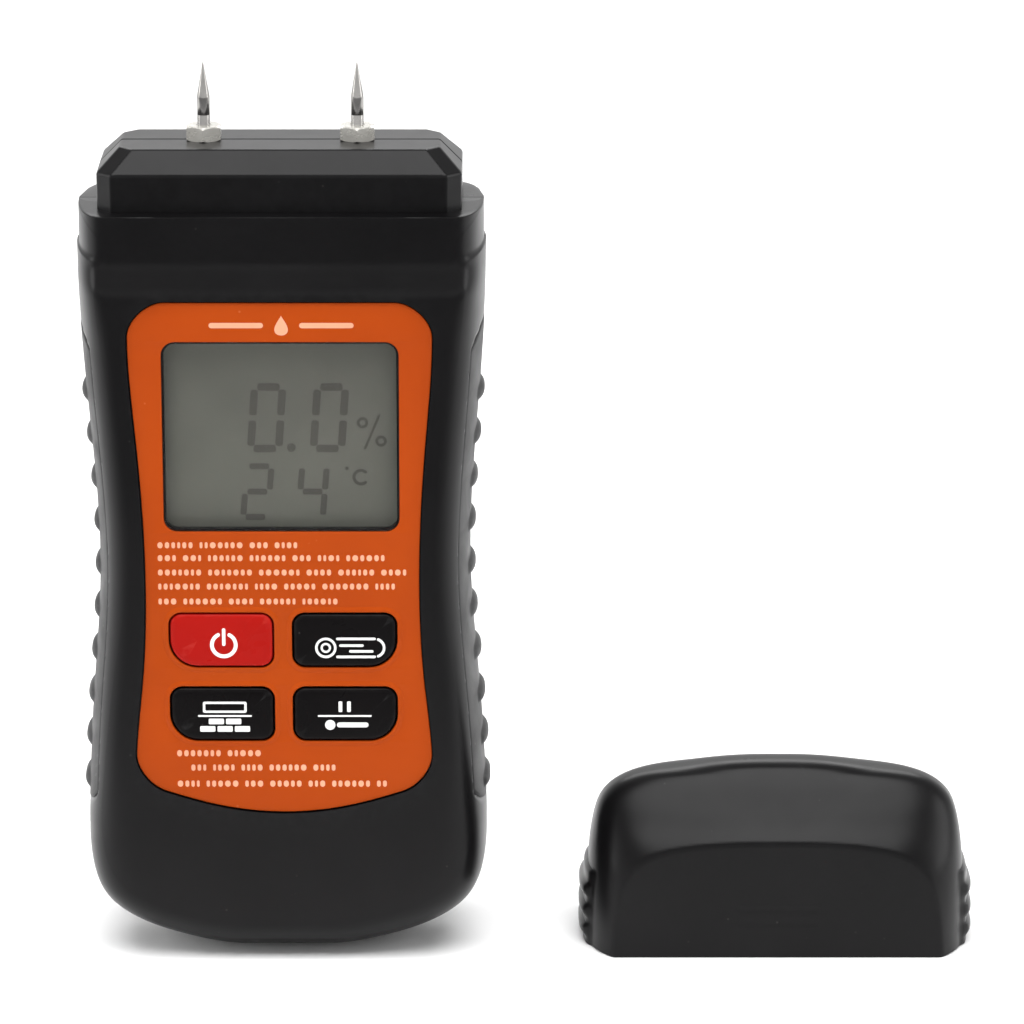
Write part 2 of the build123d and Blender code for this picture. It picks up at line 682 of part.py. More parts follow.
pin_places = [(-PIN_X, 0), (PIN_X, 0)]
with BuildPart() as pin_nuts:
    with BuildSketch(Plane.XY.offset(HEAD_TOP_Z)):
        with Locations(*pin_places):
            RegularPolygon(NUT_FLATS / 2, 6, major_radius=False, rotation=NUT_TURN)
    extrude(amount=NUT_HEIGHT)
    chamfer(pin_nuts.faces().group_by(Axis.Z)[-1].edges(), NUT_CHAMFER)
    with BuildSketch(Plane.XY.offset(HEAD_TOP_Z)):
        with Locations(*pin_places):
            Circle(PIN_RADIUS)
    extrude(amount=NUT_HEIGHT, mode=Mode.SUBTRACT)
save(pin_nuts, "pin_nuts")

with BuildPart() as pin_sockets:
    with BuildSketch(Plane.XY.offset(SOCKET_LOW_Z)):
        with Locations(*pin_places):
            Circle(SOCKET_RADIUS)
    extrude(amount=HEAD_TOP_Z - SOCKET_LOW_Z)
    with BuildSketch(Plane.XY.offset(PIN_LOW_Z)):
        with Locations(*pin_places):
            Circle(PIN_RADIUS)
    extrude(amount=HEAD_TOP_Z - PIN_LOW_Z, mode=Mode.SUBTRACT)
save(pin_sockets, "pin_sockets")

tab_depth = BOARD_BACK + TAB_THICKNESS / 2
with BuildPart() as pin_tabs:
    for side in (-1, 1):
        with BuildSketch(Plane.YZ.offset(side * PIN_X - TAB_WIDTH / 2)):
            with BuildLine():
                Polyline(
                    (0, SOCKET_LOW_Z),
                    (0, TAB_BEND_Z),
                    (tab_depth, TAB_LANDING_Z),
                    (tab_depth, TAB_LOW_Z),
                )
            trace(line_width=TAB_THICKNESS)
        extrude(amount=TAB_WIDTH)
save(pin_tabs, "pin_tabs")

# ---- Battery, snap connector and leads ----
battery_top_z = BATTERY_LOW_Z + BATTERY[2]
stud_places = [(-TERMINAL_SPACING, battery_middle), (TERMINAL_SPACING, battery_middle)]
with BuildPart() as battery:
    with BuildSketch(Plane.XY.offset(BATTERY_LOW_Z)):
        with Locations((0, battery_middle)):
            RectangleRounded(BATTERY[0], BATTERY[1], BATTERY_ROUND)
    extrude(amount=BATTERY[2])
save(battery, "battery")

with BuildPart() as battery_terminals:
    with BuildSketch(Plane.XY.offset(battery_top_z)):
        with Locations(*stud_places):
            Circle(STUD_RADIUS)
    extrude(amount=TERMINAL_HEIGHT)
save(battery_terminals, "battery_terminals")

with BuildPart() as snap_connector:
    with BuildSketch(Plane.XY.offset(CLIP_LOW_Z)):
        with Locations((0, battery_middle)):
            RectangleRounded(CLIP[0], CLIP[1], BATTERY_ROUND)
    extrude(amount=CLIP[2])
    with BuildSketch(Plane.XY.offset(CLIP_LOW_Z)):
        with Locations(*stud_places):
            Circle(STUD_POCKET_RADIUS)
    extrude(amount=battery_top_z + TERMINAL_HEIGHT - CLIP_LOW_Z, mode=Mode.SUBTRACT)
save(snap_connector, "snap_connector")

with BuildPart() as battery_foam:
    with BuildSketch(Plane.XY.offset(BAY_LOW_Z)):
        with Locations((0, battery_middle)):
            Rectangle(BATTERY[0] - BATTERY_ROUND, BATTERY[1] - BATTERY_ROUND)
    extrude(amount=FOAM_THICKNESS)
save(battery_foam, "battery_foam")

for side, name in ((-1, "black_lead"), (1, "red_lead")):
    rise = LEAD_RISE_Z - CLIP_LOW_Z - CLIP[2]
    solder_depth = BOARD_BACK + LEAD_RADIUS
    run = Vector(0, solder_depth - battery_middle, LEAD_END_Z - LEAD_RISE_Z)
    half_turn = Vector(0, 0, 1).get_angle(run) / 2
    bend = LEAD_BEND_SHARE * min(rise, run.length) / tan(radians(half_turn))
    print(name, "bend radius", round(bend, 1))
    with BuildPart() as lead:
        with BuildLine() as route:
            FilletPolyline(
                (side * LEAD_X, battery_middle, CLIP_LOW_Z + CLIP[2]),
                (side * LEAD_X, battery_middle, LEAD_RISE_Z),
                (side * LEAD_X, solder_depth, LEAD_END_Z),
                radius=bend,
            )
        with BuildSketch(Plane(route.line @ 0, z_dir=route.line % 0)):
            Circle(LEAD_RADIUS)
        sweep()
    save(lead, name)

# ---- Battery door: its rounded lower edge turns on two moulded pins ----
door_edge = (DOOR_OUTER - DOOR_INNER) / 2
with BuildPart() as battery_door:
    with BuildSketch(depth_plane(DOOR_OUTER)):
        with Locations((0, (DOOR_AXIS_Z + DOOR_TOP_Z) / 2)):
            Rectangle(2 * DOOR_HALF, DOOR_TOP_Z - DOOR_AXIS_Z)
    extrude(amount=DOOR_OUTER - DOOR_INNER)
    with BuildSketch(Plane.YZ.offset(-DOOR_HALF)):
        with Locations((DOOR_AXIS_Y, DOOR_AXIS_Z)):
            Circle(door_edge)
    extrude(amount=2 * DOOR_HALF)
    with BuildSketch(Plane.YZ.offset(-DOOR_HALF - DOOR_PIN_REACH)):
        with Locations((DOOR_AXIS_Y, DOOR_AXIS_Z)):
            Circle(DOOR_PIN_RADIUS)
    extrude(amount=2 * (DOOR_HALF + DOOR_PIN_REACH))
    with BuildSketch(depth_plane(DOOR_OUTER)):
        with Locations(
            (-DOOR_TONGUE_HALF, DOOR_TOP_Z - DOOR_TONGUE_LENGTH / 2),
            (DOOR_TONGUE_HALF, DOOR_TOP_Z - DOOR_TONGUE_LENGTH / 2),
        ):
            Rectangle(DOOR_SLOT, DOOR_TONGUE_LENGTH)
    extrude(amount=DOOR_OUTER - DOOR_INNER, mode=Mode.SUBTRACT)
    ridge_places = [
        (0, DOOR_TOP_Z - DOOR_RIDGE_PITCH * (ridge + 1)) for ridge in range(DOOR_RIDGES)
    ]
    with BuildSketch(depth_plane(DOOR_OUTER)):
        with Locations(*ridge_places):
            Rectangle(2 * DOOR_RIDGE_HALF, DOOR_SLOT)
    extrude(amount=DOOR_RIDGE_DEPTH, mode=Mode.SUBTRACT)
save(battery_door, "battery_door")

# ---- Protective cap: a front outline crossed with a side outline, then hollowed ----
with BuildPart() as cap_shell:
    with BuildSketch(depth_plane(CAP_DEPTH)):
        with BuildLine():
            Line((0, 0), CAP_SIDE[0])
            wall = Polyline(*CAP_SIDE)
            Spline(wall @ 1, *CAP_CROWN, (0, CAP_TOP_Z), tangents=[(-0.08, 1), (-1, 0)])
            mirror(about=Plane.YZ)
        make_face()
    extrude(amount=2 * CAP_DEPTH)
    with BuildSketch(Plane.YZ.offset(-CAP_WALL_HALF)):
        with BuildLine():
            Polyline(
                (-CAP_CREST_DEPTH, CAP_CREST_Z), (-CAP_DEPTH, CAP_FACE_Z), (-CAP_DEPTH, 0),
                (CAP_DEPTH, 0), (CAP_DEPTH, CAP_FACE_Z), (CAP_CREST_DEPTH, CAP_CREST_Z),
            )
            ThreePointArc(
                (CAP_CREST_DEPTH, CAP_CREST_Z), (0, CAP_TOP_Z), (-CAP_CREST_DEPTH, CAP_CREST_Z)
            )
        make_face()
    extrude(amount=2 * CAP_WALL_HALF, mode=Mode.INTERSECT)
    upright = cap_shell.edges().filter_by(Axis.Z)
    fillet(upright, CAP_CORNER)
    with BuildSketch():
        add(head_section(CAP_CAVITY_HALF, CAP_CAVITY_DEPTH))
    extrude(amount=CAP_CAVITY_Z, mode=Mode.SUBTRACT)
    with BuildSketch(Plane.XY.offset(CAP_CAVITY_Z)):
        add(head_section(CAP_CAVITY_HALF, CAP_CAVITY_DEPTH))
    with BuildSketch(Plane.XY.offset(CAP_CAVITY_TOP_Z)):
        add(head_section(CAP_CAVITY_TOP_HALF, CAP_CAVITY_TOP_DEPTH))
    loft(mode=Mode.SUBTRACT)
    for side in (-1, 1):
        pad_middle = side * (CAP_CAVITY_HALF + CAP_PAD_REACH) / 2
        with Locations((pad_middle, 0, CAP_PAD_HEIGHT / 2)):
            Box(CAP_PAD_REACH - CAP_CAVITY_HALF, 2 * CAP_PAD_DEPTH, CAP_PAD_HEIGHT)
        rib_middle = side * (CAP_WALL_HALF + CAP_RIB_REACH) / 2
        with Locations(*[(rib_middle, 0, z) for z in CAP_RIB_Z]):
            Box(CAP_RIB_REACH - CAP_WALL_HALF, 2 * CAP_PAD_DEPTH, CAP_RIB_HEIGHT)
cap_shell.part.position = (CAP_X, 0, 0)
save(cap_shell, "cap_shell")
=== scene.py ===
from math import radians

import bmesh
import bpy
import numpy as np
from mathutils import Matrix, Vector


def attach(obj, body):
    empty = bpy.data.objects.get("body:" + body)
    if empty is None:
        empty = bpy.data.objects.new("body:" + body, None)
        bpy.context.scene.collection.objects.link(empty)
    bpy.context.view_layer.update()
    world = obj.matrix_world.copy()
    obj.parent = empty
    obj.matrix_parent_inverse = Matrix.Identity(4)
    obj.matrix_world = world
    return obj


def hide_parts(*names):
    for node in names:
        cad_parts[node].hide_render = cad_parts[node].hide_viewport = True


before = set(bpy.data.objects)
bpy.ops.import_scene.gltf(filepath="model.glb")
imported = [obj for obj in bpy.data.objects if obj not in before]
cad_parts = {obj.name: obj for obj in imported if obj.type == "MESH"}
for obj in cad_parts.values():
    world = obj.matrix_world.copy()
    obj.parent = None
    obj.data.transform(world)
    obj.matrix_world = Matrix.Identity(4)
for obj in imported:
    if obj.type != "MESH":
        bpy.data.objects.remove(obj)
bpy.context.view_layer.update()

# ---- Table, lamps and camera ----
# The meter and its cap stand on a white table under a wide lamp overhead, one behind and
# two soft ones at the sides. The studio's walls are bright and its ceiling is dimmer. The
# view is from a little above, through a long lens.
MM = 0.001
CAMERA_PLACE = (37.5 * MM, -857.2 * MM, 326.1 * MM)
CAMERA_TILT = radians(16.4)
CAMERA_LENS = 189.84
CAMERA_FAR = 50.0
TABLE_HALF = 6.0
TABLE_WHITE = (0.95, 0.95, 0.95, 1)
TABLE_SHADED = (0.20, 0.20, 0.205, 1)
TABLE_PAINTED_SHADE_Y = (-0.03, -0.30)     # painted shade: only where the meter mirrors it, the table greys out over this
WALL_LIGHT, CEILING_LIGHT = 1.3, 0.42
CEILING_START = 0.62              # sine of the elevation where the wall's light has faded
LAMPS = [
    # name, place, aim, width and height in metres, power in watts
    ("lamp_above", (0.03, -0.34, 1.25), (0.03, 0.0, 0.08), (1.5, 0.95), 23.0),
    ("lamp_behind", (0.03, 1.5, 1.1), (0.03, 0.9, 0.0), (1.6, 0.5), 12.0),
    ("lamp_left", (-1.1, -0.1, 0.5), (0.0, 0.0, 0.07), (0.5, 0.8), 4.0),
    ("lamp_right", (1.2, -0.1, 0.5), (0.05, 0.0, 0.07), (0.5, 0.8), 4.0),
]

camera_data = bpy.data.cameras.new("camera")
camera_data.lens = CAMERA_LENS
camera_data.clip_end = CAMERA_FAR
camera = bpy.data.objects.new("camera", camera_data)
camera.location = CAMERA_PLACE
camera.rotation_euler = (radians(90) - CAMERA_TILT, 0, 0)
bpy.context.scene.collection.objects.link(camera)
bpy.context.scene.camera = camera
bpy.context.scene.view_settings.view_transform = "Standard"

for name, place, aim, (width, height), power in LAMPS:
    lamp_data = bpy.data.lights.new(name, "AREA")
    lamp_data.shape = "RECTANGLE"
    lamp_data.size = width
    lamp_data.size_y = height
    lamp_data.energy = power
    lamp = bpy.data.objects.new(name, lamp_data)
    lamp.location = place
    lamp.rotation_euler = (Vector(aim) - Vector(place)).to_track_quat("-Z", "Y").to_euler()
    bpy.context.scene.collection.objects.link(lamp)


def add_node(tree, kind, feeds=None, **settings):
    """Add a node, set its properties, and feed its sockets from plain values or from
    the sockets of other nodes."""
    new = tree.nodes.new(kind)
    for key, value in settings.items():
        setattr(new, key, value)
    for key, value in (feeds or {}).items():
        if isinstance(value, bpy.types.NodeSocket):
            tree.links.new(value, new.inputs[key])
        else:
            new.inputs[key].default_value = value
    return new


def add_mix(tree, factor, first, second):
    """Blend two colours by a factor; returns the colour socket."""
    feeds = {0: factor, 6: first, 7: second}
    return add_node(tree, "ShaderNodeMix", feeds, data_type="RGBA").outputs[2]


def add_math(tree, operation, first, second=0.0, third=0.0):
    """One sum of two or three values; returns the value socket."""
    feeds = {0: first, 1: second, 2: third}
    return add_node(tree, "ShaderNodeMath", feeds, operation=operation).outputs[0]


def add_ramp(tree, value, low, high, to_low=0.0, to_high=1.0):
    """Stretch low..high of a value to to_low..to_high, cut off outside; returns the socket."""
    feeds = {"Value": value, 1: low, 2: high, 3: to_low, 4: to_high}
    return add_node(tree, "ShaderNodeMapRange", feeds).outputs[0]


def set_bump(tree, shader, height, strength, depth):
    """Feed the shader's normal from a height; depth is in millimetres."""
    feeds = {"Height": height, "Strength": strength, "Distance": depth * MM}
    bump = add_node(tree, "ShaderNodeBump", feeds)
    tree.links.new(bump.outputs[0], shader.inputs["Normal"])


def new_material(name, roughness, metallic=0.0, specular=0.5, coat=0.0):
    """A material with one Principled shader; returns material, tree, shader and the
    Object coordinates of the piece."""
    material = bpy.data.materials.new(name)
    material.use_nodes = True
    tree = material.node_tree
    shader = tree.nodes["Principled BSDF"]
    shader.inputs["Roughness"].default_value = roughness
    shader.inputs["Metallic"].default_value = metallic
    shader.inputs["Specular IOR Level"].default_value = specular
    shader.inputs["Coat Weight"].default_value = coat
    place = add_node(tree, "ShaderNodeTexCoord").outputs["Object"]
    return material, tree, shader, place


studio = bpy.data.worlds.new("studio")
studio.use_nodes = True
room = studio.node_tree
elevation = add_node(
    room, "ShaderNodeSeparateXYZ", {0: add_node(room, "ShaderNodeTexCoord").outputs["Generated"]}
)
room_light = add_ramp(room, elevation.outputs["Z"], 0.0, CEILING_START, WALL_LIGHT, CEILING_LIGHT)
room.links.new(room_light, room.nodes["Background"].inputs["Strength"])
room.nodes["Background"].inputs["Color"].default_value = (1, 1, 1, 1)
bpy.context.scene.world = studio

# Painted shade: the table is white to the eye, but in what the meter mirrors it greys out towards the
# front, which darkens the meter's front faces.
table_material, table_tree, table_shader, place = new_material("table_white", 0.7, specular=0.1)
table_y = add_node(table_tree, "ShaderNodeSeparateXYZ", {0: place}).outputs["Y"]
mirrored = add_node(table_tree, "ShaderNodeLightPath").outputs["Is Glossy Ray"]
table_painted_shade = add_math(table_tree, "MULTIPLY", add_ramp(table_tree, table_y, *TABLE_PAINTED_SHADE_Y), mirrored)
table_tree.links.new(
    add_mix(table_tree, table_painted_shade, TABLE_WHITE, TABLE_SHADED), table_shader.inputs["Base Color"]
)
table_mesh = bpy.data.meshes.new("table")
table_corners = [(x * TABLE_HALF, y * TABLE_HALF, 0) for x, y in ((-1, -1), (1, -1), (1, 1), (-1, 1))]
table_mesh.from_pydata(table_corners, [], [(0, 1, 2, 3)])
table_mesh.materials.append(table_material)
table = bpy.data.objects.new("table", table_mesh)
bpy.context.scene.collection.objects.link(table)


# ---- Housing shells ----
# Two moulded ABS halves, satin black, that meet on the middle plane and are held by four
# screws from the back. The body is waisted and stands on a small flat foot; above the
# stepped collar the faceted head carries the pins, and that is where the cap goes on.
BODY_HALF = 33.3
SEAM_Z = 120.7
FOOT_HALF = 7.0
HEEL = [(17.0, 1.6), (26.2, 5.1), (31.0, 9.2), (33.2, 17.0)]
SIDE = [(33.1, 27.0), (32.4, 40.0), (30.6, 65.5), (32.1, 95.0), (BODY_HALF, SEAM_Z)]
COLLAR_HALF = 32.95
COLLAR_STEP_Z = 120.86
SHOULDER_Z = 127.2
PLATE_TOP_Z = 113.1
PLATE_BOTTOM_Z = 26.4
PLATE_TOP_FLAT = 18.6
PLATE_SIDE = [(24.6, 107.3), (23.5, 90.0), (22.35, 66.0), (23.1, 49.0), (24.3, 36.6)]
PLATE_HIP = (19.4, 30.0)
PLATE_HIP_RUN = (-1, -0.32)
PLATE_CHIN = (10.5, 27.5)
PLATE_GAP = 0.22           # open line between the face plate and its pocket
BODY_DEPTH = 14.75
SHELF_DEPTH = 13.1         # front surface of the collar
SHELF_RISE_Z = (114.0, 119.3)
SHELL_INSIDE = 12.6
SHELL_WALL = 1.6
POCKET_FLOOR = 13.75
HEEL_STEPS, FLANK_STEPS, COLLAR_STEPS, TOP_STEPS = 60, 160, 30, 40
EDGE_REACH = 6.5
EDGE_ROWS = 36
OPEN_ROWS = 7
PARTING_BEVEL = 0.13
# How the front surface rounds over to the side: reach in from the outline, and power.
FLANK_ROUND = (6.0, 2.05)
HEEL_ROUND = (9.0, 2.5)
COLLAR_ROUND = (4.8, 2.1)
SHOULDER_ROUND = (0.4, 2.6)
FLANK_LOW_Z = (20.0, 38.0)
FLANK_HIGH_Z = (104.0, 116.0)
GRIP_LOW_Z, GRIP_HIGH_Z = 25.0, 108.0
GRIP_REACH = 2.05          # grip border: this far in from the outline, seen from the front
GRIP_SINK = 0.5            # the grip's pocket is this deep, and reaches this far forward:
GRIP_POCKET_DEPTH = 10.7
GRIP_END_ROUND = 4.0
BORDER_SOFT = 0.3
WALL_DEPTH = 6.0           # the inside turns in from the side wall at this depth
HEAD_GAP = 0.07            # open parting line between the halves of the head
HEAD_ROWS = [
    # height, half width, half depth, corner cut
    (136.88, 25.8, 7.75, 2.3),
    (133.2, 29.45, 10.95, 2.5),
    (126.0, 29.4, 10.9, 2.5),
]


def smooth_curve(points, count, start, end):
    """Cubic spline through the points: the slopes at the points are solved for so that
    curvature is continuous, the end slopes point along start and end, and the samples
    lie at even distances along the curve."""
    points = np.array(points, float)
    steps = np.linalg.norm(np.diff(points, axis=0), axis=1)
    knots = np.concatenate([[0], np.cumsum(steps)])
    size = len(points)
    matrix = np.eye(size)
    right = np.zeros((size, 2))
    inner = np.arange(1, size - 1)
    matrix[inner, inner - 1] = steps[1:]
    matrix[inner, inner] = 2 * (steps[:-1] + steps[1:])
    matrix[inner, inner + 1] = steps[:-1]
    slopes = np.diff(points, axis=0) / steps[:, None]
    right[inner] = 3 * (steps[1:, None] * slopes[:-1] + steps[:-1, None] * slopes[1:])
    right[0] = np.array(start) / np.linalg.norm(start)
    right[-1] = np.array(end) / np.linalg.norm(end)
    tangents = np.linalg.solve(matrix, right)
    fine = np.linspace(0, knots[-1], 60 * size)
    span = np.clip(np.searchsorted(knots, fine, side="right") - 1, 0, size - 2)
    part = ((fine - knots[span]) / steps[span])[:, None]
    width = steps[span][:, None]
    line = (
        (2 * part**3 - 3 * part**2 + 1) * points[span]
        + (part**3 - 2 * part**2 + part) * width * tangents[span]
        + (3 * part**2 - 2 * part**3) * points[span + 1]
        + (part**3 - part**2) * width * tangents[span + 1]
    )
    return even_steps(line, count)


def even_steps(line, count):
    """The same open line, sampled again at count even distances along it."""
    line = np.array(line, float)
    gone = np.concatenate([[0], np.cumsum(np.linalg.norm(np.diff(line, axis=0), axis=1))])
    wanted = np.linspace(0, gone[-1], count)
    return np.stack([np.interp(wanted, gone, line[:, axis]) for axis in (0, 1)], axis=1)


def full_ring(*stretches):
    """Join right-hand stretches that run from the bottom centre to the top centre, and
    close the ring with their mirror image on the left."""
    right = np.concatenate([stretch[:-1] for stretch in stretches[:-1]] + [stretches[-1]])
    return np.concatenate([right, right[-2:0:-1] * (-1, 1)])


flank_edge = smooth_curve([(FOOT_HALF, 0), *HEEL, *SIDE], 900, (1, 0), (0, 1))
flank_edge = np.concatenate([[(0, 0)], flank_edge])
flank_edge[:, 0] = np.minimum(flank_edge[:, 0], BODY_HALF)
flank_edge[:, 1] = np.maximum(flank_edge[:, 1], 0)
collar_edge = np.array([
    (BODY_HALF, SEAM_Z), (COLLAR_HALF, COLLAR_STEP_Z), (COLLAR_HALF, SHOULDER_Z),
])
body_edge = np.concatenate([flank_edge, even_steps(collar_edge, COLLAR_STEPS)[1:]])
heel_end = np.argmin(abs(flank_edge[:, 1] - HEEL[-1][1]))
body_ring = full_ring(
    even_steps(flank_edge[: heel_end + 1], HEEL_STEPS),
    even_steps(flank_edge[heel_end:], FLANK_STEPS),
    even_steps(collar_edge, COLLAR_STEPS),
    even_steps([(COLLAR_HALF, SHOULDER_Z), (0, SHOULDER_Z)], TOP_STEPS),
)


def plate_ring(grow=0.0):
    """The outline of the face plate, grown by grow, with the same stretches and steps
    as the body's ring: chin and hip, waisted side, round top corner and top."""
    side = smooth_curve(PLATE_SIDE[::-1], FLANK_STEPS, (-0.05, 1), (0, 1))
    hip = smooth_curve([PLATE_SIDE[-1], PLATE_HIP], 60, (0.05, -1), PLATE_HIP_RUN)
    chin = smooth_curve([PLATE_HIP, PLATE_CHIN, (0, PLATE_BOTTOM_Z)], 90, PLATE_HIP_RUN, (-1, 0))
    corner = smooth_curve([PLATE_SIDE[0], (PLATE_TOP_FLAT, PLATE_TOP_Z)], 60, (0, 1), (-1, 0))
    bottom = np.concatenate([hip, chin[1:]])[::-1]
    ring = full_ring(
        even_steps(bottom, HEEL_STEPS), side, even_steps(corner, COLLAR_STEPS),
        even_steps([corner[-1], (0, PLATE_TOP_Z)], TOP_STEPS),
    )
    return ring + grow * ring_normals(ring)


def ring_normals(ring):
    """Unit normals that point out of a counter-clockwise closed ring."""
    along = np.roll(ring, -1, axis=0) - np.roll(ring, 1, axis=0)
    out = np.stack([along[:, 1], -along[:, 0]], axis=1)
    return out / np.linalg.norm(out, axis=1)[:, None]


def soft_step(value, low, high):
    """0 below low, 1 above high, and a smooth S between them."""
    part = np.clip((value - low) / (high - low), 0, 1)
    return part * part * (3 - 2 * part)


def rounding(gap, reach, power):
    """Superellipse quarter: 0 at the outline, 1 from reach inwards."""
    part = np.clip(gap / reach, 0, 1)
    return (1 - (1 - part) ** power) ** (1 / power)


def edge_gap(points):
    """Distance from each (x, z) point to the nearest stretch of the body's open edge,
    from the foot up to the shoulder."""
    line = np.concatenate([flank_edge[::2], body_edge[len(flank_edge):]])
    start, step = line[:-1], np.diff(line, axis=0)
    away = np.abs(points[:, None] * (1, 0)) + points[:, None] * (0, 1) - start
    part = np.clip((away * step).sum(-1) / (step**2).sum(-1), 0, 1)
    return np.linalg.norm(away - part[..., None] * step, axis=-1).min(1)


def shell_depth(points):
    """Distance of the outer surface from the parting plane at (x, z) points: the full
    depth, less the shelf of the collar, times the rounding towards the outline. The
    rounding is crested along the flanks and fuller round the heel."""
    z = points[:, 1]
    gap = edge_gap(points)
    flank = soft_step(z, *FLANK_LOW_Z) * (1 - soft_step(z, *FLANK_HIGH_Z))
    collar = soft_step(z, *FLANK_HIGH_Z)
    share = (
        flank * rounding(gap, *FLANK_ROUND)
        + collar * rounding(gap, *COLLAR_ROUND)
        + (1 - flank - collar) * rounding(gap, *HEEL_ROUND)
    )
    full = BODY_DEPTH + (SHELF_DEPTH - BODY_DEPTH) * soft_step(z, *SHELF_RISE_Z)
    return full * share * rounding(SHOULDER_Z - z, *SHOULDER_ROUND)


def add_mesh(name, points, faces, sharp=35.0, caps=False):
    """Put millimetre points and faces into a new object: doubles are merged, open ends
    are closed when caps is set, and the faces are turned outwards."""
    mesh = bpy.data.meshes.new(name)
    mesh.from_pydata((np.asarray(points) * MM).tolist(), [], list(map(tuple, faces)))
    work = bmesh.new()
    work.from_mesh(mesh)
    bmesh.ops.remove_doubles(work, verts=work.verts, dist=1e-6)
    if caps:
        bmesh.ops.holes_fill(work, edges=work.edges, sides=0)
    bmesh.ops.recalc_face_normals(work, faces=work.faces)
    work.to_mesh(mesh)
    work.free()
    mesh.shade_smooth()
    mesh.set_sharp_from_angle(angle=radians(sharp))
    piece = bpy.data.objects.new(name, mesh)
    bpy.context.scene.collection.objects.link(piece)
    return piece


def add_grid(name, grid, across=False, around=True, **how):
    """A surface from rows of (x, y, z) points. around closes each row on itself, and
    across joins the last row to the first."""
    rows, columns = grid.shape[:2]
    index = np.arange(rows * columns).reshape(rows, columns)
    if around:
        index = np.concatenate([index, index[:, :1]], axis=1)
    if across:
        index = np.concatenate([index, index[:1]], axis=0)
    corners = [index[:-1, :-1], index[:-1, 1:], index[1:, 1:], index[1:, :-1]]
    return add_mesh(name, grid.reshape(-1, 3), np.stack(corners, axis=-1).reshape(-1, 4), **how)


def facing(places, depths, sign):
    """(x, z) places and distances from the parting plane as (x, y, z) points; sign -1
    faces the front and 1 faces the back."""
    depths = np.broadcast_to(depths, places.shape[:-1])
    return np.stack([places[..., 0], sign * depths, places[..., 1]], axis=-1)


def half_shell(name, sign, inner_ring, ledge):
    """One half of the body as a closed hollow ring. It runs from the inner ring out over
    the face to the parting plane, and back inside the wall to the ledge."""
    run = inner_ring - body_ring
    length = np.linalg.norm(run, axis=1)[:, None]
    inward = run / length
    edge_rows = EDGE_REACH * np.linspace(0, 1, EDGE_ROWS) ** 1.9
    places = [body_ring + inward * step for step in edge_rows]
    places += [
        body_ring + inward * (EDGE_REACH + (length - EDGE_REACH) * part)
        for part in np.linspace(0, 1, OPEN_ROWS + 1)[1:]
    ]
    depths = [shell_depth(place) for place in places]
    sink = ring_normals(body_ring)
    surface = []
    for place, depth in zip(places, depths):
        z = place[:, 1]
        end = GRIP_END_ROUND * np.clip(edge_gap(place) / GRIP_REACH, 0, 1)
        along = soft_step(z - end, GRIP_LOW_Z - BORDER_SOFT, GRIP_LOW_Z + BORDER_SOFT)
        along = along * (1 - soft_step(z + end, GRIP_HIGH_Z - BORDER_SOFT, GRIP_HIGH_Z + BORDER_SOFT))
        pocket = along * (1 - soft_step(depth, GRIP_POCKET_DEPTH - BORDER_SOFT, GRIP_POCKET_DEPTH))
        surface.append(facing(place - sink * (GRIP_SINK * pocket)[:, None], depth, sign))
    parting = body_ring + inward * PARTING_BEVEL
    surface[0] = facing(body_ring, PARTING_BEVEL, sign)
    wall = body_ring - sink * SHELL_WALL
    inside = [
        facing(parting, 0.0, sign),
        facing(wall, 0.0, sign),
        facing(wall, WALL_DEPTH, sign),
        facing(body_ring + run * 0.6, SHELL_INSIDE, sign),
        facing(inner_ring + inward * ledge, SHELL_INSIDE, sign),
        facing(inner_ring + inward * ledge, POCKET_FLOOR, sign),
        facing(inner_ring, POCKET_FLOOR, sign),
    ]
    grid = np.array(surface[::-1] + inside)
    return add_grid(name, grid, across=True, sharp=40)


def half_head(name, sign):
    """The head of one shell: half-octagon rows from the middle line of the top down
    into the collar, closed along the parting plane."""
    near = sign * HEAD_GAP
    rows = np.array([
        [(-half, near, z), (-half, sign * (depth - cut), z), (cut - half, sign * depth, z),
         (half - cut, sign * depth, z), (half, sign * (depth - cut), z), (half, near, z)]
        for z, half, depth, cut in HEAD_ROWS
    ])
    top = rows[:1] * (1, 0, 1) + (0, near, 0)
    low = rows[-1:] * (1, 0, 1) + (0, near, 0)
    return add_grid(name, np.concatenate([top, rows, low]), around=False, sharp=20, caps=True)


def add_bevel(piece, width, segments=3, angle=20.0):
    """Round every edge that is sharper than angle degrees; width is in millimetres."""
    bevel = piece.modifiers.new("rounded_edges", "BEVEL")
    bevel.width = width * MM
    bevel.segments = segments
    bevel.limit_method = "ANGLE"
    bevel.angle_limit = radians(angle)
    bevel.harden_normals = True


def use_material(piece, material, body):
    """Give a new piece its material and the body it rides on."""
    piece.data.materials.clear()
    piece.data.materials.append(material)
    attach(piece, body)


def dress(material, *names):
    """Give carried-over nodes a material; their meshes are left alone."""
    for name in names:
        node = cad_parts[name]
        if not node.material_slots:
            node.data.materials.append(material)
        for material_slot in node.material_slots:
            material_slot.material = material


def start_group(name, takes, gives):
    """An empty shader node group; takes and gives list socket names and kinds."""
    group = bpy.data.node_groups.new(name, "ShaderNodeTree")
    for label, kind, value in takes:
        socket = group.interface.new_socket(label, in_out="INPUT", socket_type=kind)
        if value is not None:
            socket.default_value = value
    for label, kind in gives:
        group.interface.new_socket(label, in_out="OUTPUT", socket_type=kind)
    return group, group.nodes.new("NodeGroupInput"), group.nodes.new("NodeGroupOutput")


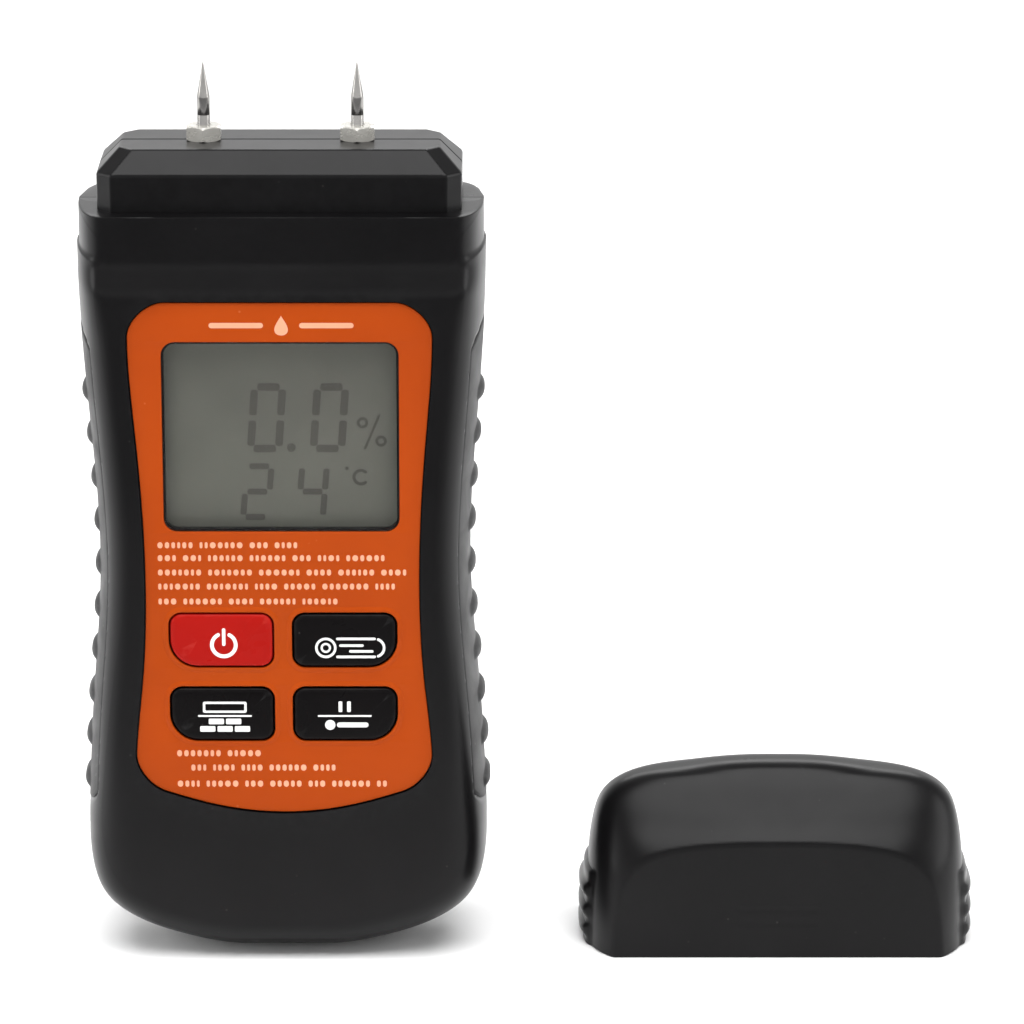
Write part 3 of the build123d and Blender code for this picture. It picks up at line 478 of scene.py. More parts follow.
# Handled surface: two tones that drift into each other, sparse dust, finger marks in the
# gloss, and a fine grain for the bump.
handled_surface, takes, gives = start_group(
    "handled_surface",
    [
        ("Place", "NodeSocketVector", None),
        ("Tone", "NodeSocketColor", (0.5, 0.5, 0.5, 1)),
        ("Second Tone", "NodeSocketColor", (0.4, 0.4, 0.4, 1)),
        ("Dust Tone", "NodeSocketColor", (0.4, 0.38, 0.35, 1)),
        ("Dust", "NodeSocketFloat", 0.1),
        ("Roughness", "NodeSocketFloat", 0.4),
        ("Spread", "NodeSocketFloat", 0.1),
        ("Grain Scale", "NodeSocketFloat", 1500.0),
    ],
    [("Color", "NodeSocketColor"), ("Roughness", "NodeSocketFloat"), ("Height", "NodeSocketFloat")],
)
place = takes.outputs["Place"]
drift = add_node(handled_surface, "ShaderNodeTexNoise", {"Vector": place, "Scale": 55.0, "Detail": 4.0})
marks = add_node(
    handled_surface, "ShaderNodeTexNoise",
    {"Vector": place, "Scale": 140.0, "Detail": 5.0, "Distortion": 0.5},
)
motes = add_node(handled_surface, "ShaderNodeTexVoronoi", {"Vector": place, "Scale": 420.0})
grain = add_node(
    handled_surface, "ShaderNodeTexNoise",
    {"Vector": place, "Scale": takes.outputs["Grain Scale"], "Detail": 3.0},
)
drifted = add_mix(
    handled_surface, add_ramp(handled_surface, drift.outputs[0], 0.35, 0.65),
    takes.outputs["Tone"], takes.outputs["Second Tone"],
)
near_mote = add_ramp(handled_surface, motes.outputs["Distance"], 0.05, 0.11, 1.0, 0.0)
rare = add_ramp(handled_surface, marks.outputs[0], 0.56, 0.62)
dusty = add_math(
    handled_surface, "MULTIPLY", add_math(handled_surface, "MULTIPLY", near_mote, rare),
    takes.outputs["Dust"],
)
dusted = add_mix(handled_surface, dusty, drifted, takes.outputs["Dust Tone"])
rubbed = add_math(
    handled_surface, "MULTIPLY_ADD", add_ramp(handled_surface, marks.outputs[0], 0.3, 0.7, -0.5, 0.5),
    takes.outputs["Spread"], takes.outputs["Roughness"],
)
handled_surface.links.new(dusted, gives.inputs["Color"])
handled_surface.links.new(rubbed, gives.inputs["Roughness"])
handled_surface.links.new(grain.outputs[0], gives.inputs["Height"])

# Worn edges: where the surface bends sharply outwards the tone goes lighter and the
# gloss changes, broken up by a fine noise.
worn_edges, takes, gives = start_group(
    "worn_edges",
    [
        ("Place", "NodeSocketVector", None),
        ("Color", "NodeSocketColor", (0.5, 0.5, 0.5, 1)),
        ("Worn Color", "NodeSocketColor", (0.5, 0.5, 0.5, 1)),
        ("Roughness", "NodeSocketFloat", 0.4),
        ("Worn Roughness", "NodeSocketFloat", 0.3),
        ("Amount", "NodeSocketFloat", 0.5),
    ],
    [("Color", "NodeSocketColor"), ("Roughness", "NodeSocketFloat")],
)
bend = add_node(worn_edges, "ShaderNodeNewGeometry").outputs["Pointiness"]
breakup = add_node(
    worn_edges, "ShaderNodeTexNoise", {"Vector": takes.outputs["Place"], "Scale": 600.0, "Detail": 4.0}
)
edge = add_ramp(worn_edges, bend, 0.51, 0.57)
broken = add_math(worn_edges, "MULTIPLY", edge, add_ramp(worn_edges, breakup.outputs[0], 0.35, 0.65))
worn = add_math(worn_edges, "MULTIPLY", broken, takes.outputs["Amount"])
worn_color = add_mix(worn_edges, worn, takes.outputs["Color"], takes.outputs["Worn Color"])
rough_gain = add_math(worn_edges, "SUBTRACT", takes.outputs["Worn Roughness"], takes.outputs["Roughness"])
worn_rough = add_math(worn_edges, "MULTIPLY_ADD", rough_gain, worn, takes.outputs["Roughness"])
worn_edges.links.new(worn_color, gives.inputs["Color"])
worn_edges.links.new(worn_rough, gives.inputs["Roughness"])


def moulded_finish(
    name, tone, second_tone, roughness, spread=0.1, dust=0.12, grain=1500.0, bump=0.15,
    bump_depth=0.02, worn_tone=None, wear=0.0, dust_tone=(0.4, 0.38, 0.35), **fixed,
):
    """A moulded or painted finish: the handled surface, then worn edges, feed colour and
    roughness, and the grain feeds the bump; bump_depth is in millimetres."""
    material, tree, shader, place = new_material(name, roughness, **fixed)
    skin = add_node(
        tree, "ShaderNodeGroup",
        {
            "Place": place, "Tone": (*tone, 1), "Second Tone": (*second_tone, 1), "Dust": dust,
            "Dust Tone": (*dust_tone, 1), "Roughness": roughness, "Spread": spread,
            "Grain Scale": grain,
        },
        node_tree=handled_surface,
    )
    edges = add_node(
        tree, "ShaderNodeGroup",
        {
            "Place": place, "Color": skin.outputs["Color"], "Roughness": skin.outputs["Roughness"],
            "Worn Color": (*(worn_tone or tone), 1), "Worn Roughness": roughness * 0.8,
            "Amount": wear,
        },
        node_tree=worn_edges,
    )
    tree.links.new(edges.outputs["Color"], shader.inputs["Base Color"])
    tree.links.new(edges.outputs["Roughness"], shader.inputs["Roughness"])
    set_bump(tree, shader, skin.outputs["Height"], bump, bump_depth)
    return material


housing_black = moulded_finish(
    "housing_black", (0.0026, 0.0024, 0.0027), (0.0040, 0.0037, 0.0041), 0.30, spread=0.05,
    grain=2600.0, bump=0.12, worn_tone=(0.02, 0.02, 0.021), wear=0.25, dust=0.04, specular=0.17,
)

DOOR_HALF, DOOR_LOW_Z, DOOR_TOP_Z = 15.8, 19.15, 82.6
DOOR_GAP = 0.28
DOOR_SHOULDER_Z = 78.0
opening_corners = [
    (0, DOOR_LOW_Z - DOOR_GAP), (DOOR_HALF + DOOR_GAP, DOOR_LOW_Z - DOOR_GAP),
    (DOOR_HALF + DOOR_GAP, DOOR_SHOULDER_Z), (DOOR_HALF + DOOR_GAP, DOOR_TOP_Z + DOOR_GAP),
    (0, DOOR_TOP_Z + DOOR_GAP),
]
door_opening = full_ring(*[
    even_steps([start, end], steps) for start, end, steps in zip(
        opening_corners, opening_corners[1:], (HEEL_STEPS, FLANK_STEPS, COLLAR_STEPS, TOP_STEPS)
    )
])
front_body = half_shell("front_shell_body", -1, plate_ring(PLATE_GAP), 2.4)
back_body = half_shell("back_shell_body", 1, door_opening, 0.4)
front_head = half_head("front_shell_head", -1)
back_head = half_head("back_shell_head", 1)
for head in (front_head, back_head):
    add_bevel(head, 0.38, 4)
for piece in (front_body, front_head, back_body, back_head):
    use_material(piece, housing_black, "meter")
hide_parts("front_shell")
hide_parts("back_shell")

BOSS_PROFILE = [(0.0, 12.9), (3.1, 12.9), (3.1, 0.3), (1.35, 0.3), (1.35, 8.5), (0.0, 8.5)]
CASE_SCREW_AT = [(-26.3, 112.0), (26.3, 112.0), (-26.0, 16.6), (26.0, 16.6)]
RECESS_PROFILE = [(0.0, 11.6), (2.7, 11.6), (2.7, 14.3), (3.1, 14.72), (3.4, 15.5), (0.0, 15.5)]
BACK_BOSS_PROFILE = [
    (1.35, 11.6), (2.7, 11.6), (2.7, 12.7), (4.0, 12.7), (3.4, 11.0), (3.1, 10.0), (3.1, 0.3),
    (1.35, 0.3),
]
BAY_ROWS = [
    # half width, half height, distance from the parting plane: a tray with a flange
    (0.3, 14.5, -5.6), (15.5, 31.9, -5.6), (15.5, 31.9, 11.4), (17.5, 33.5, 11.4),
    (17.5, 33.5, 12.75), (14.3, 30.7, 12.75), (14.3, 30.7, -4.8), (0.3, 14.5, -4.8),
]
BAY_MIDDLE_Z = 51.0
TURN_STEPS = 64


def turned(name, profile, places, toward="Z", sign=1, sides=TURN_STEPS, **how):
    """The profile's (radius, height) points carried round an upright axis, or round an
    axis along Y, at each place; each copy is closed from its first point to its last."""
    profile = np.array(profile, float)
    angle = np.linspace(0, 2 * np.pi, sides, endpoint=False)
    ring = np.stack([np.cos(angle), np.sin(angle)], axis=1)
    flat = profile[:, :1, None] * ring[None]
    rise = np.broadcast_to(profile[:, 1:, None], (len(profile), sides, 1))
    index = np.arange(len(profile) * sides).reshape(-1, sides)
    index = np.concatenate([index, index[:, :1]], axis=1)
    if profile[0, 0] > 0:
        index = np.concatenate([index, index[:1]], axis=0)
    corners = [index[:-1, :-1], index[:-1, 1:], index[1:, 1:], index[1:, :-1]]
    faces = np.stack(corners, axis=-1).reshape(-1, 4)
    points, all_faces = [], []
    for number, (first, second) in enumerate(places):
        across = flat + (first, second)
        parts = [across[..., :1], across[..., 1:], rise]
        if toward == "Y":
            parts = [across[..., :1], sign * rise, across[..., 1:]]
        points.append(np.concatenate(parts, axis=-1).reshape(-1, 3))
        all_faces.append(faces + number * len(points[0]))
    return add_mesh(name, np.concatenate(points), np.concatenate(all_faces), **how)


def rounded_ring(half_width, half_height, radii, centre=(0, 0), arc_steps=10, side_steps=9):
    """A rounded rectangle as a closed ring; radii start at the upper right corner and
    go counter-clockwise, and the straight sides are divided evenly."""
    angle = np.linspace(0, np.pi / 2, arc_steps)
    signs = [(1, 1), (-1, 1), (-1, -1), (1, -1)]
    arcs = []
    for turn, (signs_xz, radius) in enumerate(zip(signs, radii)):
        radius = min(radius, half_width, half_height)
        middle = np.multiply(signs_xz, (half_width - radius, half_height - radius))
        around = angle + turn * np.pi / 2
        arcs.append(middle + radius * np.stack([np.cos(around), np.sin(around)], axis=1))
    sides = [
        np.linspace(arc[-1], following[0], side_steps)[1:-1]
        for arc, following in zip(arcs, arcs[1:] + arcs[:1])
    ]
    pieces = [part for pair in zip(arcs, sides) for part in pair]
    return np.concatenate(pieces) + centre


def applied(piece):
    """Replace the piece's mesh by what its modifiers make of it, and drop them."""
    graph = bpy.context.evaluated_depsgraph_get()
    finished = bpy.data.meshes.new_from_object(piece.evaluated_get(graph))
    piece.modifiers.clear()
    piece.data = finished
    return piece


def slab(name, rings, front, back, bevel=0.0):
    """A flat part facing the front, cut to the outer ring and pierced by the rings inside
    it, from distance back to distance front, with its edges rounded by bevel."""
    outline = bpy.data.curves.new(name + "_outline", "CURVE")
    outline.dimensions = "2D"
    outline.fill_mode = "BOTH"
    outline.extrude = ((front - back) / 2 - bevel) * MM
    outline.bevel_depth = bevel * MM
    outline.bevel_resolution = 2
    outline.offset = -bevel * MM
    for ring in rings:
        spline = outline.splines.new("POLY")
        spline.points.add(len(ring) - 1)
        flat = np.concatenate([ring * MM, np.zeros((len(ring), 1)), np.ones((len(ring), 1))], axis=1)
        spline.points.foreach_set("co", flat.ravel())
        spline.use_cyclic_u = True
    carrier = bpy.data.objects.new(name + "_outline", outline)
    cut = bpy.data.meshes.new_from_object(carrier)
    points = np.empty(len(cut.vertices) * 3)
    cut.vertices.foreach_get("co", points)
    points = points.reshape(-1, 3) / MM
    points = np.stack([points[:, 0], -(front + back) / 2 - points[:, 2], points[:, 1]], axis=1)
    faces = [tuple(polygon.vertices) for polygon in cut.polygons]
    bpy.data.objects.remove(carrier)
    bpy.data.meshes.remove(cut)
    return add_mesh(name, points, faces)


recess_cutter = turned("recess_cutter", RECESS_PROFILE, CASE_SCREW_AT, toward="Y", sides=48)
cut = back_body.modifiers.new("recesses", "BOOLEAN")
cut.operation = "DIFFERENCE"
cut.solver = "EXACT"
cut.object = recess_cutter
applied(back_body)
back_body.data.shade_smooth()
back_body.data.set_sharp_from_angle(angle=radians(32))
bpy.data.objects.remove(recess_cutter)

back_bosses = turned("back_shell_bosses", BACK_BOSS_PROFILE, CASE_SCREW_AT, toward="Y", sides=48)
front_bosses = turned("front_shell_bosses", BOSS_PROFILE, CASE_SCREW_AT, toward="Y", sign=-1, sides=48)
bay_rings = [
    facing(
        rounded_ring(width, max(height, 0.2), [1.6] * 4, (0, BAY_MIDDLE_Z), arc_steps=5, side_steps=3),
        depth, 1,
    )
    for width, height, depth in BAY_ROWS
]
battery_bay = add_grid("back_shell_bay", np.array(bay_rings), sharp=25, caps=True)
for piece in (back_bosses, front_bosses, battery_bay):
    use_material(piece, housing_black, "meter")


# ---- Side grips ----
# A strip of soft black rubber is moulded into a pocket down each flank, from the front
# crease round to the back one. Ten drop-shaped ribs stand out of it for the fingers.
GRIP_STEPS, GRIP_ACROSS = 460, 72
GRIP_SKIN = 0.9
GRIP_BORDER = 0.7
GRIP_FULL_HALF = 33.87
RIB_COUNT, RIB_LOW_Z, RIB_HIGH_Z = 10, 28.5, 95.4
RIB_HALF = 1.65
RIB_REACH = 5.2
RIB_PROUD = 0.85


def side_grip(name, side):
    """The strip as a grid: along the flank, and across it from the back border to the
    front one. The skin follows the shell's own rounding, rises at its border, and lifts
    by a drop-shaped bump at each rib; a second layer inside closes it."""
    flank = flank_edge[(flank_edge[:, 1] >= GRIP_LOW_Z) & (flank_edge[:, 1] <= GRIP_HIGH_Z)]
    gone = np.concatenate([[0], np.cumsum(np.linalg.norm(np.diff(flank, axis=0), axis=1))])
    along, across = np.meshgrid(
        np.linspace(0, 1, GRIP_STEPS), np.linspace(-1, 1, GRIP_ACROSS), indexing="ij"
    )
    end = GRIP_END_ROUND * across**2
    walked = end + (gone[-1] - 2 * end) * along
    x, z = np.interp(walked, gone, flank[:, 0]), np.interp(walked, gone, flank[:, 1])
    slope = np.gradient(x, axis=0) / np.gradient(z, axis=0)
    size = np.sqrt(1 + slope**2)
    inset = GRIP_REACH * across**2
    spot = np.stack([x - inset / size, z + inset * slope / size], axis=-1)
    depth = np.sign(across) * np.stack([shell_depth(spot[:, k]) for k in range(GRIP_ACROSS)], axis=1)
    skin = np.stack([spot[..., 0], depth, spot[..., 1]], axis=-1)
    normal = np.cross(np.gradient(skin, axis=0), np.gradient(skin, axis=1))
    normal /= np.linalg.norm(normal, axis=-1)[..., None]
    normal *= np.sign(normal[..., :1].mean())
    to_end = np.minimum(along, 1 - along) * (gone[-1] - 2 * end)
    to_border = np.clip(np.minimum(to_end, (1 - abs(across)) * 9.0) / GRIP_BORDER, 0, 1)
    lift = 0.07 - 0.5 * (1 - np.sqrt(1 - (1 - to_border) ** 2))
    pitch = (RIB_HIGH_Z - RIB_LOW_Z) / (RIB_COUNT - 1)
    nearest = RIB_LOW_Z + pitch * np.clip(np.round((skin[..., 2] - RIB_LOW_Z) / pitch), 0, RIB_COUNT - 1)
    reach = np.clip(abs(skin[..., 1]) / RIB_REACH, 0, 1)
    half = RIB_HALF * (1 - 0.35 * reach**2)
    upright = np.clip(abs(skin[..., 2] - nearest) / half, 0, 1)
    lift += RIB_PROUD * (1 - upright**2.2) ** 0.8 * (1 - reach**3.5) ** 0.7
    outer = skin + normal * lift[..., None]
    outer[..., 0] = np.minimum(outer[..., 0], GRIP_FULL_HALF)
    inner = skin - normal * GRIP_SKIN
    grid = np.concatenate([outer, inner[:, ::-1]], axis=1) * (side, 1, 1)
    return add_grid(name, grid, sharp=50, caps=True)


grip_rubber = moulded_finish(
    "grip_rubber", (0.0085, 0.0083, 0.0088), (0.013, 0.0125, 0.013), 0.5, spread=0.14, dust=0.2,
    grain=1900.0, bump=0.35, bump_depth=0.03, worn_tone=(0.03, 0.03, 0.031), wear=0.5, specular=0.4,
)
for side, name in ((-1, "left_grip"), (1, "right_grip")):
    grip = side_grip(name + "_strip", side)
    use_material(grip, grip_rubber, "meter")
    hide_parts(name)


# ---- Face plate ----
# An orange printed polycarbonate plate, glued into a shallow pocket of the front shell.
# It is pierced for the window and the four keys, and has a low lip round each key.
PLATE_FRONT, PLATE_BACK = 14.4, 13.78
PLATE_EDGE = 0.12
WALL_FRONT, WALL_BACK = 13.74, 12.65
WINDOW_HALF = (19.15, 15.9)
WINDOW_Z = 90.6
WINDOW_ROUND = 2.2
KEY_HALF = (8.35, 4.45)
KEY_GAP = 0.3
KEY_SMALL_ROUND, KEY_BIG_ROUND = 1.9, 4.8
KEYS = {
    "power": (-10.1, 56.2), "wood": (10.1, 56.2), "wall": (-10.1, 43.5), "hold": (10.1, 43.5),
}
LIP_ROWS = [
    # growth of the key outline, distance from the parting plane
    (0.30, 13.9), (0.30, 14.52), (0.36, 14.60), (0.48, 14.635), (0.66, 14.62), (0.86, 14.55),
    (1.05, 14.46), (1.2, 14.41), (1.2, 13.9),
]


def key_ring(centre, grow=0.0, arc_steps=12):
    """A key's outline: three small corners, and a large one outermost and lowest."""
    outer_left = centre[0] < 0
    low_left = KEY_BIG_ROUND if outer_left else KEY_SMALL_ROUND
    low_right = KEY_SMALL_ROUND if outer_left else KEY_BIG_ROUND
    radii = np.array([KEY_SMALL_ROUND, KEY_SMALL_ROUND, low_left, low_right]) + grow
    half = np.array(KEY_HALF) + grow
    return rounded_ring(*half, np.maximum(radii, 0.05), centre, arc_steps=arc_steps)


def window_ring(shrink=0.0):
    """The window's outline with its small round corners."""
    half = np.array(WINDOW_HALF) - shrink
    return rounded_ring(*half, [WINDOW_ROUND - shrink] * 4, (0, WINDOW_Z), side_steps=24)


key_holes = [key_ring(centre, KEY_GAP) for centre in KEYS.values()]
front_wall = slab(
    "front_shell_wall", [plate_ring(PLATE_GAP + 1.0), window_ring(0.35), *key_holes],
    WALL_FRONT, WALL_BACK,
)
use_material(front_wall, housing_black, "meter")

orange_film = moulded_finish(
    "orange_film", (0.380, 0.050, 0.0009), (0.354, 0.045, 0.0008), 0.42, spread=0.16, dust=0.3,
    dust_tone=(0.60, 0.20, 0.08), grain=3200.0, bump=0.12, bump_depth=0.012, specular=0.10,
)
face_plate = slab(
    "face_plate_sheet", [plate_ring(), window_ring(-0.06), *key_holes],
    PLATE_FRONT, PLATE_BACK, PLATE_EDGE,
)
use_material(face_plate, orange_film, "meter")
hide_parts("face_plate")
for key, centre in KEYS.items():
    rows = [facing(key_ring(centre, grow), depth, -1) for grow, depth in LIP_ROWS]
    lip = add_grid(f"{key}_key_lip", np.array(rows), across=True, sharp=60)
    use_material(lip, orange_film, "meter")


# ---- Printing on the face plate ----
# Pale screen printing. The lines are rows of small blocks in groups, a drop between two
# dashes stands for the title, and nothing on the plate can be read.
PRINT_FRONT, PRINT_BACK = 14.435, 14.36
TITLE_Z = 109.35
TITLE_DASHES = [(-11.4, -2.6), (3.2, 12.0)]
TITLE_DASH_HEIGHT = 0.9
DROP_X, DROP_HEIGHT, DROP_WIDTH = 0.3, 3.3, 2.4
PRINT_LINES = [
    # left end, right end, middle height, block height
    (-20.3, 2.9, 72.4, 1.05), (-20.3, 17.2, 70.2, 1.05), (-20.3, 20.4, 67.75, 1.05),
    (-20.3, 19.0, 65.35, 1.05), (-20.3, 9.8, 62.8, 1.05),
    (-17.7, -2.6, 36.6, 1.1), (-15.4, 9.1, 34.1, 1.1), (-17.7, 17.4, 31.3, 1.1),
]
BLOCK_WIDTHS = (0.45, 0.95)
BLOCK_GAP = 0.36
BLOCKS_TO_A_WORD = (3, 8)
WORD_GAP = 1.15


def dash_ring(left, right, z, height):
    """One printed block or dash with rounded ends."""
    half = ((right - left) / 2, height / 2)
    corner = min(*half)
    return rounded_ring(*half, [corner] * 4, ((left + right) / 2, z), arc_steps=4, side_steps=3)


def drop_ring(x, z, height, width, steps=48):
    """A water drop: 1.3 times the width times sin(t) times sin(t/2)^1.5, pointed at the
    top; the height goes with cos(t)."""
    turn = np.linspace(0, 2 * np.pi, steps, endpoint=False)
    across = 1.3 * np.sin(turn) * np.sin(turn / 2) ** 1.5
    return np.stack([x - width / 2 * across, z + height / 2 * np.cos(turn)], axis=1)


words = np.random.default_rng(5)
dashes = [drop_ring(DROP_X, TITLE_Z, DROP_HEIGHT, DROP_WIDTH)]
dashes += [dash_ring(*span, TITLE_Z, TITLE_DASH_HEIGHT) for span in TITLE_DASHES]
for left, right, z, height in PRINT_LINES:
    start = left
    while start < right - BLOCK_WIDTHS[1]:
        for _ in range(words.integers(*BLOCKS_TO_A_WORD)):
            end = start + words.uniform(*BLOCK_WIDTHS)
            if end > right:
                break
            dashes.append(dash_ring(start, end, z, height))
            start = end + BLOCK_GAP
        start += WORD_GAP - BLOCK_GAP
printing = slab("face_plate_printing", dashes, PRINT_FRONT, PRINT_BACK)
pale_ink = moulded_finish(
    "pale_ink", (0.80, 0.36, 0.21), (0.72, 0.30, 0.17), 0.5, grain=4000.0, bump=0.1, dust=0.0
)
use_material(printing, pale_ink, "meter")


# ---- Window and display ----
# A clear acrylic window lies flush in the plate. Behind it the grey-green liquid crystal
# glass sits in its white frame on the board, and shows two rows of seven-bar figures.
WINDOW_FRONT, WINDOW_BACK, WINDOW_EDGE = 14.38, 13.8, 0.1
window_acrylic, window_tree, window_shader, place = new_material("window_acrylic", 0.08)
window_shader.inputs["Base Color"].default_value = (0.02, 0.02, 0.02, 1)
smears = add_node(window_tree, "ShaderNodeTexNoise", {"Vector": place, "Scale": 70.0, "Detail": 5.0})
for socket, ramp in (("Roughness", (0.3, 0.75, 0.06, 0.2)), ("Alpha", (0.35, 0.75, 0.08, 0.13))):
    window_tree.links.new(
        add_ramp(window_tree, smears.outputs[0], *ramp), window_shader.inputs[socket]
    )
window_pane = slab(
    "display_window_pane", [window_ring(0.04)], WINDOW_FRONT, WINDOW_BACK, WINDOW_EDGE
)
use_material(window_pane, window_acrylic, "meter")
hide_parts("display_window")

lcd_grey, lcd_tree, lcd_shader, place = new_material("lcd_grey", 0.42, specular=0.15)
lcd_drift = add_node(lcd_tree, "ShaderNodeTexNoise", {"Vector": place, "Scale": 45.0, "Detail": 3.0})
lcd_axes = add_node(lcd_tree, "ShaderNodeSeparateXYZ", {0: place})
# Painted shade: the glass grows darker towards the top of the window.
lcd_painted_shade = add_ramp(lcd_tree, lcd_axes.outputs["Z"], 72 * MM, 107 * MM)
lcd_tone = add_mix(lcd_tree, lcd_painted_shade, (0.151, 0.153, 0.130, 1), (0.129, 0.130, 0.112, 1))
lcd_patch = add_ramp(lcd_tree, lcd_drift.outputs[0], 0.3, 0.7, 0.0, 0.25)
lcd_tree.links.new(
    add_mix(lcd_tree, lcd_patch, lcd_tone, (0.144, 0.147, 0.124, 1)), lcd_shader.inputs["Base Color"]
)
lcd_grain = add_node(lcd_tree, "ShaderNodeTexNoise", {"Vector": place, "Scale": 3500.0, "Detail": 2.0})
set_bump(lcd_tree, lcd_shader, lcd_grain.outputs[0], 0.03, 0.004)
dress(lcd_grey, "lcd_glass")

FIGURE_FRONT, FIGURE_BACK = 11.46, 11.38
BARS = {
    # name: start and end as shares of the figure's width and height
    "top": ((0, 1), (1, 1)), "middle": ((0, 0.5), (1, 0.5)), "bottom": ((0, 0), (1, 0)),
    "upper_left": ((0, 0.5), (0, 1)), "upper_right": ((1, 0.5), (1, 1)),
    "lower_left": ((0, 0), (0, 0.5)), "lower_right": ((1, 0), (1, 0.5)),
}
ZERO = ("top", "upper_left", "upper_right", "lower_left", "lower_right", "bottom")
TWO = ("top", "upper_right", "middle", "lower_left", "bottom")
FOUR = ("upper_left", "upper_right", "middle", "lower_right")
FIGURES = [
    # lit bars, left, bottom, width and height between bar middles, slant, bar width
    (ZERO, -5.0, 87.95, 4.55, 10.35, 0.75, 1.25), (ZERO, 5.2, 87.95, 4.55, 10.35, 0.75, 1.25),
    (TWO, -6.4, 76.35, 4.0, 8.6, 0.75, 1.0), (FOUR, 2.6, 76.35, 4.0, 8.6, 0.75, 1.0),
]
BAR_GAP = 0.28
FIGURE_CIRCLES = [
    # the point, the two rings of the percent sign and the degree sign
    ((1.6, 88.1), 0.72), ((13.2, 92.3), 0.95), ((13.2, 92.3), 0.45), ((16.2, 89.2), 0.95),
    ((16.2, 89.2), 0.45), ((10.6, 84.6), 0.32),
]
STATUS_Z, STATUS_HEIGHT = 106.3, 1.1
STATUS_MARKS = [(-14.6, 1.6), (-10.4, 3.4), (-6.2, 2.8), (0.6, 1.3), (11.6, 3.0), (15.6, 1.7)]


def stroke_ring(start, end, width, round_share=1.0, steps=6):
    """A straight stroke of the given width with round or, for a low share, blunt ends."""
    start, end = np.array(start, float), np.array(end, float)
    along = (end - start) / np.linalg.norm(end - start)
    aside = np.array([-along[1], along[0]])
    turn = np.linspace(-np.pi / 2, np.pi / 2, steps)[:, None]
    cap = round_share * np.cos(turn) * along + np.sin(turn) * aside
    return np.concatenate([end + width / 2 * cap, start - width / 2 * cap])


def arc_rings(centre, radius, width, first, last, steps=40):
    """A band along part of a circle, with round ends; angles are in degrees."""
    turn = np.radians(np.linspace(first, last, steps))[:, None]
    out = np.concatenate([np.cos(turn), np.sin(turn)], axis=1)
    ends = np.radians(np.linspace(0, 180, 7))[1:-1]
    far = np.stack([np.cos(ends + turn[-1]), np.sin(ends + turn[-1])], axis=1)
    near = np.stack([np.cos(ends + turn[0] + np.pi), np.sin(ends + turn[0] + np.pi)], axis=1)
    band = [
        out * (radius + width / 2), out[-1] * radius + far * width / 2,
        out[::-1] * (radius - width / 2), out[0] * radius + near * width / 2,
    ]
    return np.concatenate(band) + centre


def circle_ring(centre, radius, steps=48):
    """A full circle."""
    turn = np.linspace(0, 2 * np.pi, steps, endpoint=False)
    return np.stack([np.cos(turn), np.sin(turn)], axis=1) * radius + centre


figure_rings = []
for lit, left, bottom, width, height, slant, bar in FIGURES:
    for name in lit:
        ends = np.array(BARS[name], float) * (width, height)
        ends[:, 0] += slant * ends[:, 1] / height
        along = (ends[1] - ends[0]) / np.linalg.norm(ends[1] - ends[0])
        ends += np.array([along, -along]) * (bar / 2 + BAR_GAP / 2)
        figure_rings.append(stroke_ring(*(ends + (left, bottom)), bar, 0.55))
figure_rings += [circle_ring(centre, radius) for centre, radius in FIGURE_CIRCLES]
figure_rings += [
    stroke_ring((13.6, 88.0), (15.9, 93.5), 0.45), arc_rings((12.9, 83.1), 1.15, 0.55, 50, 310),
]
figure_rings += [
    dash_ring(x - span / 2, x + span / 2, STATUS_Z, STATUS_HEIGHT) for x, span in STATUS_MARKS
]
figures = slab("lcd_figures", figure_rings, FIGURE_FRONT, FIGURE_BACK)
figure_grey = moulded_finish(
    "figure_grey", (0.082, 0.078, 0.070), (0.092, 0.088, 0.078), 0.42, grain=4000.0, bump=0.03,
    dust=0.0, specular=0.15,
)
use_material(figures, figure_grey, "meter")

white_plastic = moulded_finish(
    "white_plastic", (0.62, 0.61, 0.57), (0.55, 0.54, 0.50), 0.42, grain=1800.0, bump=0.15
)
dress(white_plastic, "lcd_frame", "backlight")
contact_rubber = moulded_finish(
    "contact_rubber", (0.055, 0.05, 0.045), (0.03, 0.03, 0.03), 0.6, grain=2500.0, bump=0.3
)
dress(contact_rubber, "contact_strips", "keypad_mat")


# ---- Keys ----
# Four hard caps on silicone stems, each with a carbon pill behind: a red power key and
# three black ones, crowned a little, with white pictograms printed on them.
KEY_ROWS = [
    # growth of the key outline, distance from the parting plane, from flange to crown
    (1.0, 11.3), (1.0, 12.05), (0.0, 12.1), (0.0, 14.30), (-0.05, 14.48), (-0.16, 14.63),
    (-0.34, 14.73), (-0.65, 14.79), (-1.2, 14.83), (-2.2, 14.87), (-3.3, 14.89), (-4.3, 14.9),
]
STEM_HALF = (4.5, 2.8)
LEGEND_FRONT, LEGEND_BACK = 14.965, 14.8
LEGEND_STROKE = 0.42


def key_cap(name, centre):
    """The stem, the flange and the crowned cap as one closed surface: rounded rings that
    shrink towards the middle at both ends."""
    rows = []
    for half, depth in ((0.05, 9.6), (STEM_HALF[1], 9.6), (STEM_HALF[1], 11.3)):
        width = half + STEM_HALF[0] - STEM_HALF[1]
        rows.append(facing(rounded_ring(width, half, [0.6] * 4, centre, arc_steps=12), depth, -1))
    rows += [facing(key_ring(centre, grow), depth, -1) for grow, depth in KEY_ROWS]
    last = rows[-1] * (1, 1, 0) + (0, 0, centre[1])
    return add_grid(name, np.array(rows + [last]), sharp=40, caps=True)


def key_plastic(name, tone, second, worn_tone, specular):
    """The moulded finish of a key cap."""
    return moulded_finish(
        name, tone, second, 0.3, spread=0.12, grain=2400.0, bump=0.12, dust=0.2,
        worn_tone=worn_tone, wear=0.35, specular=specular,
    )


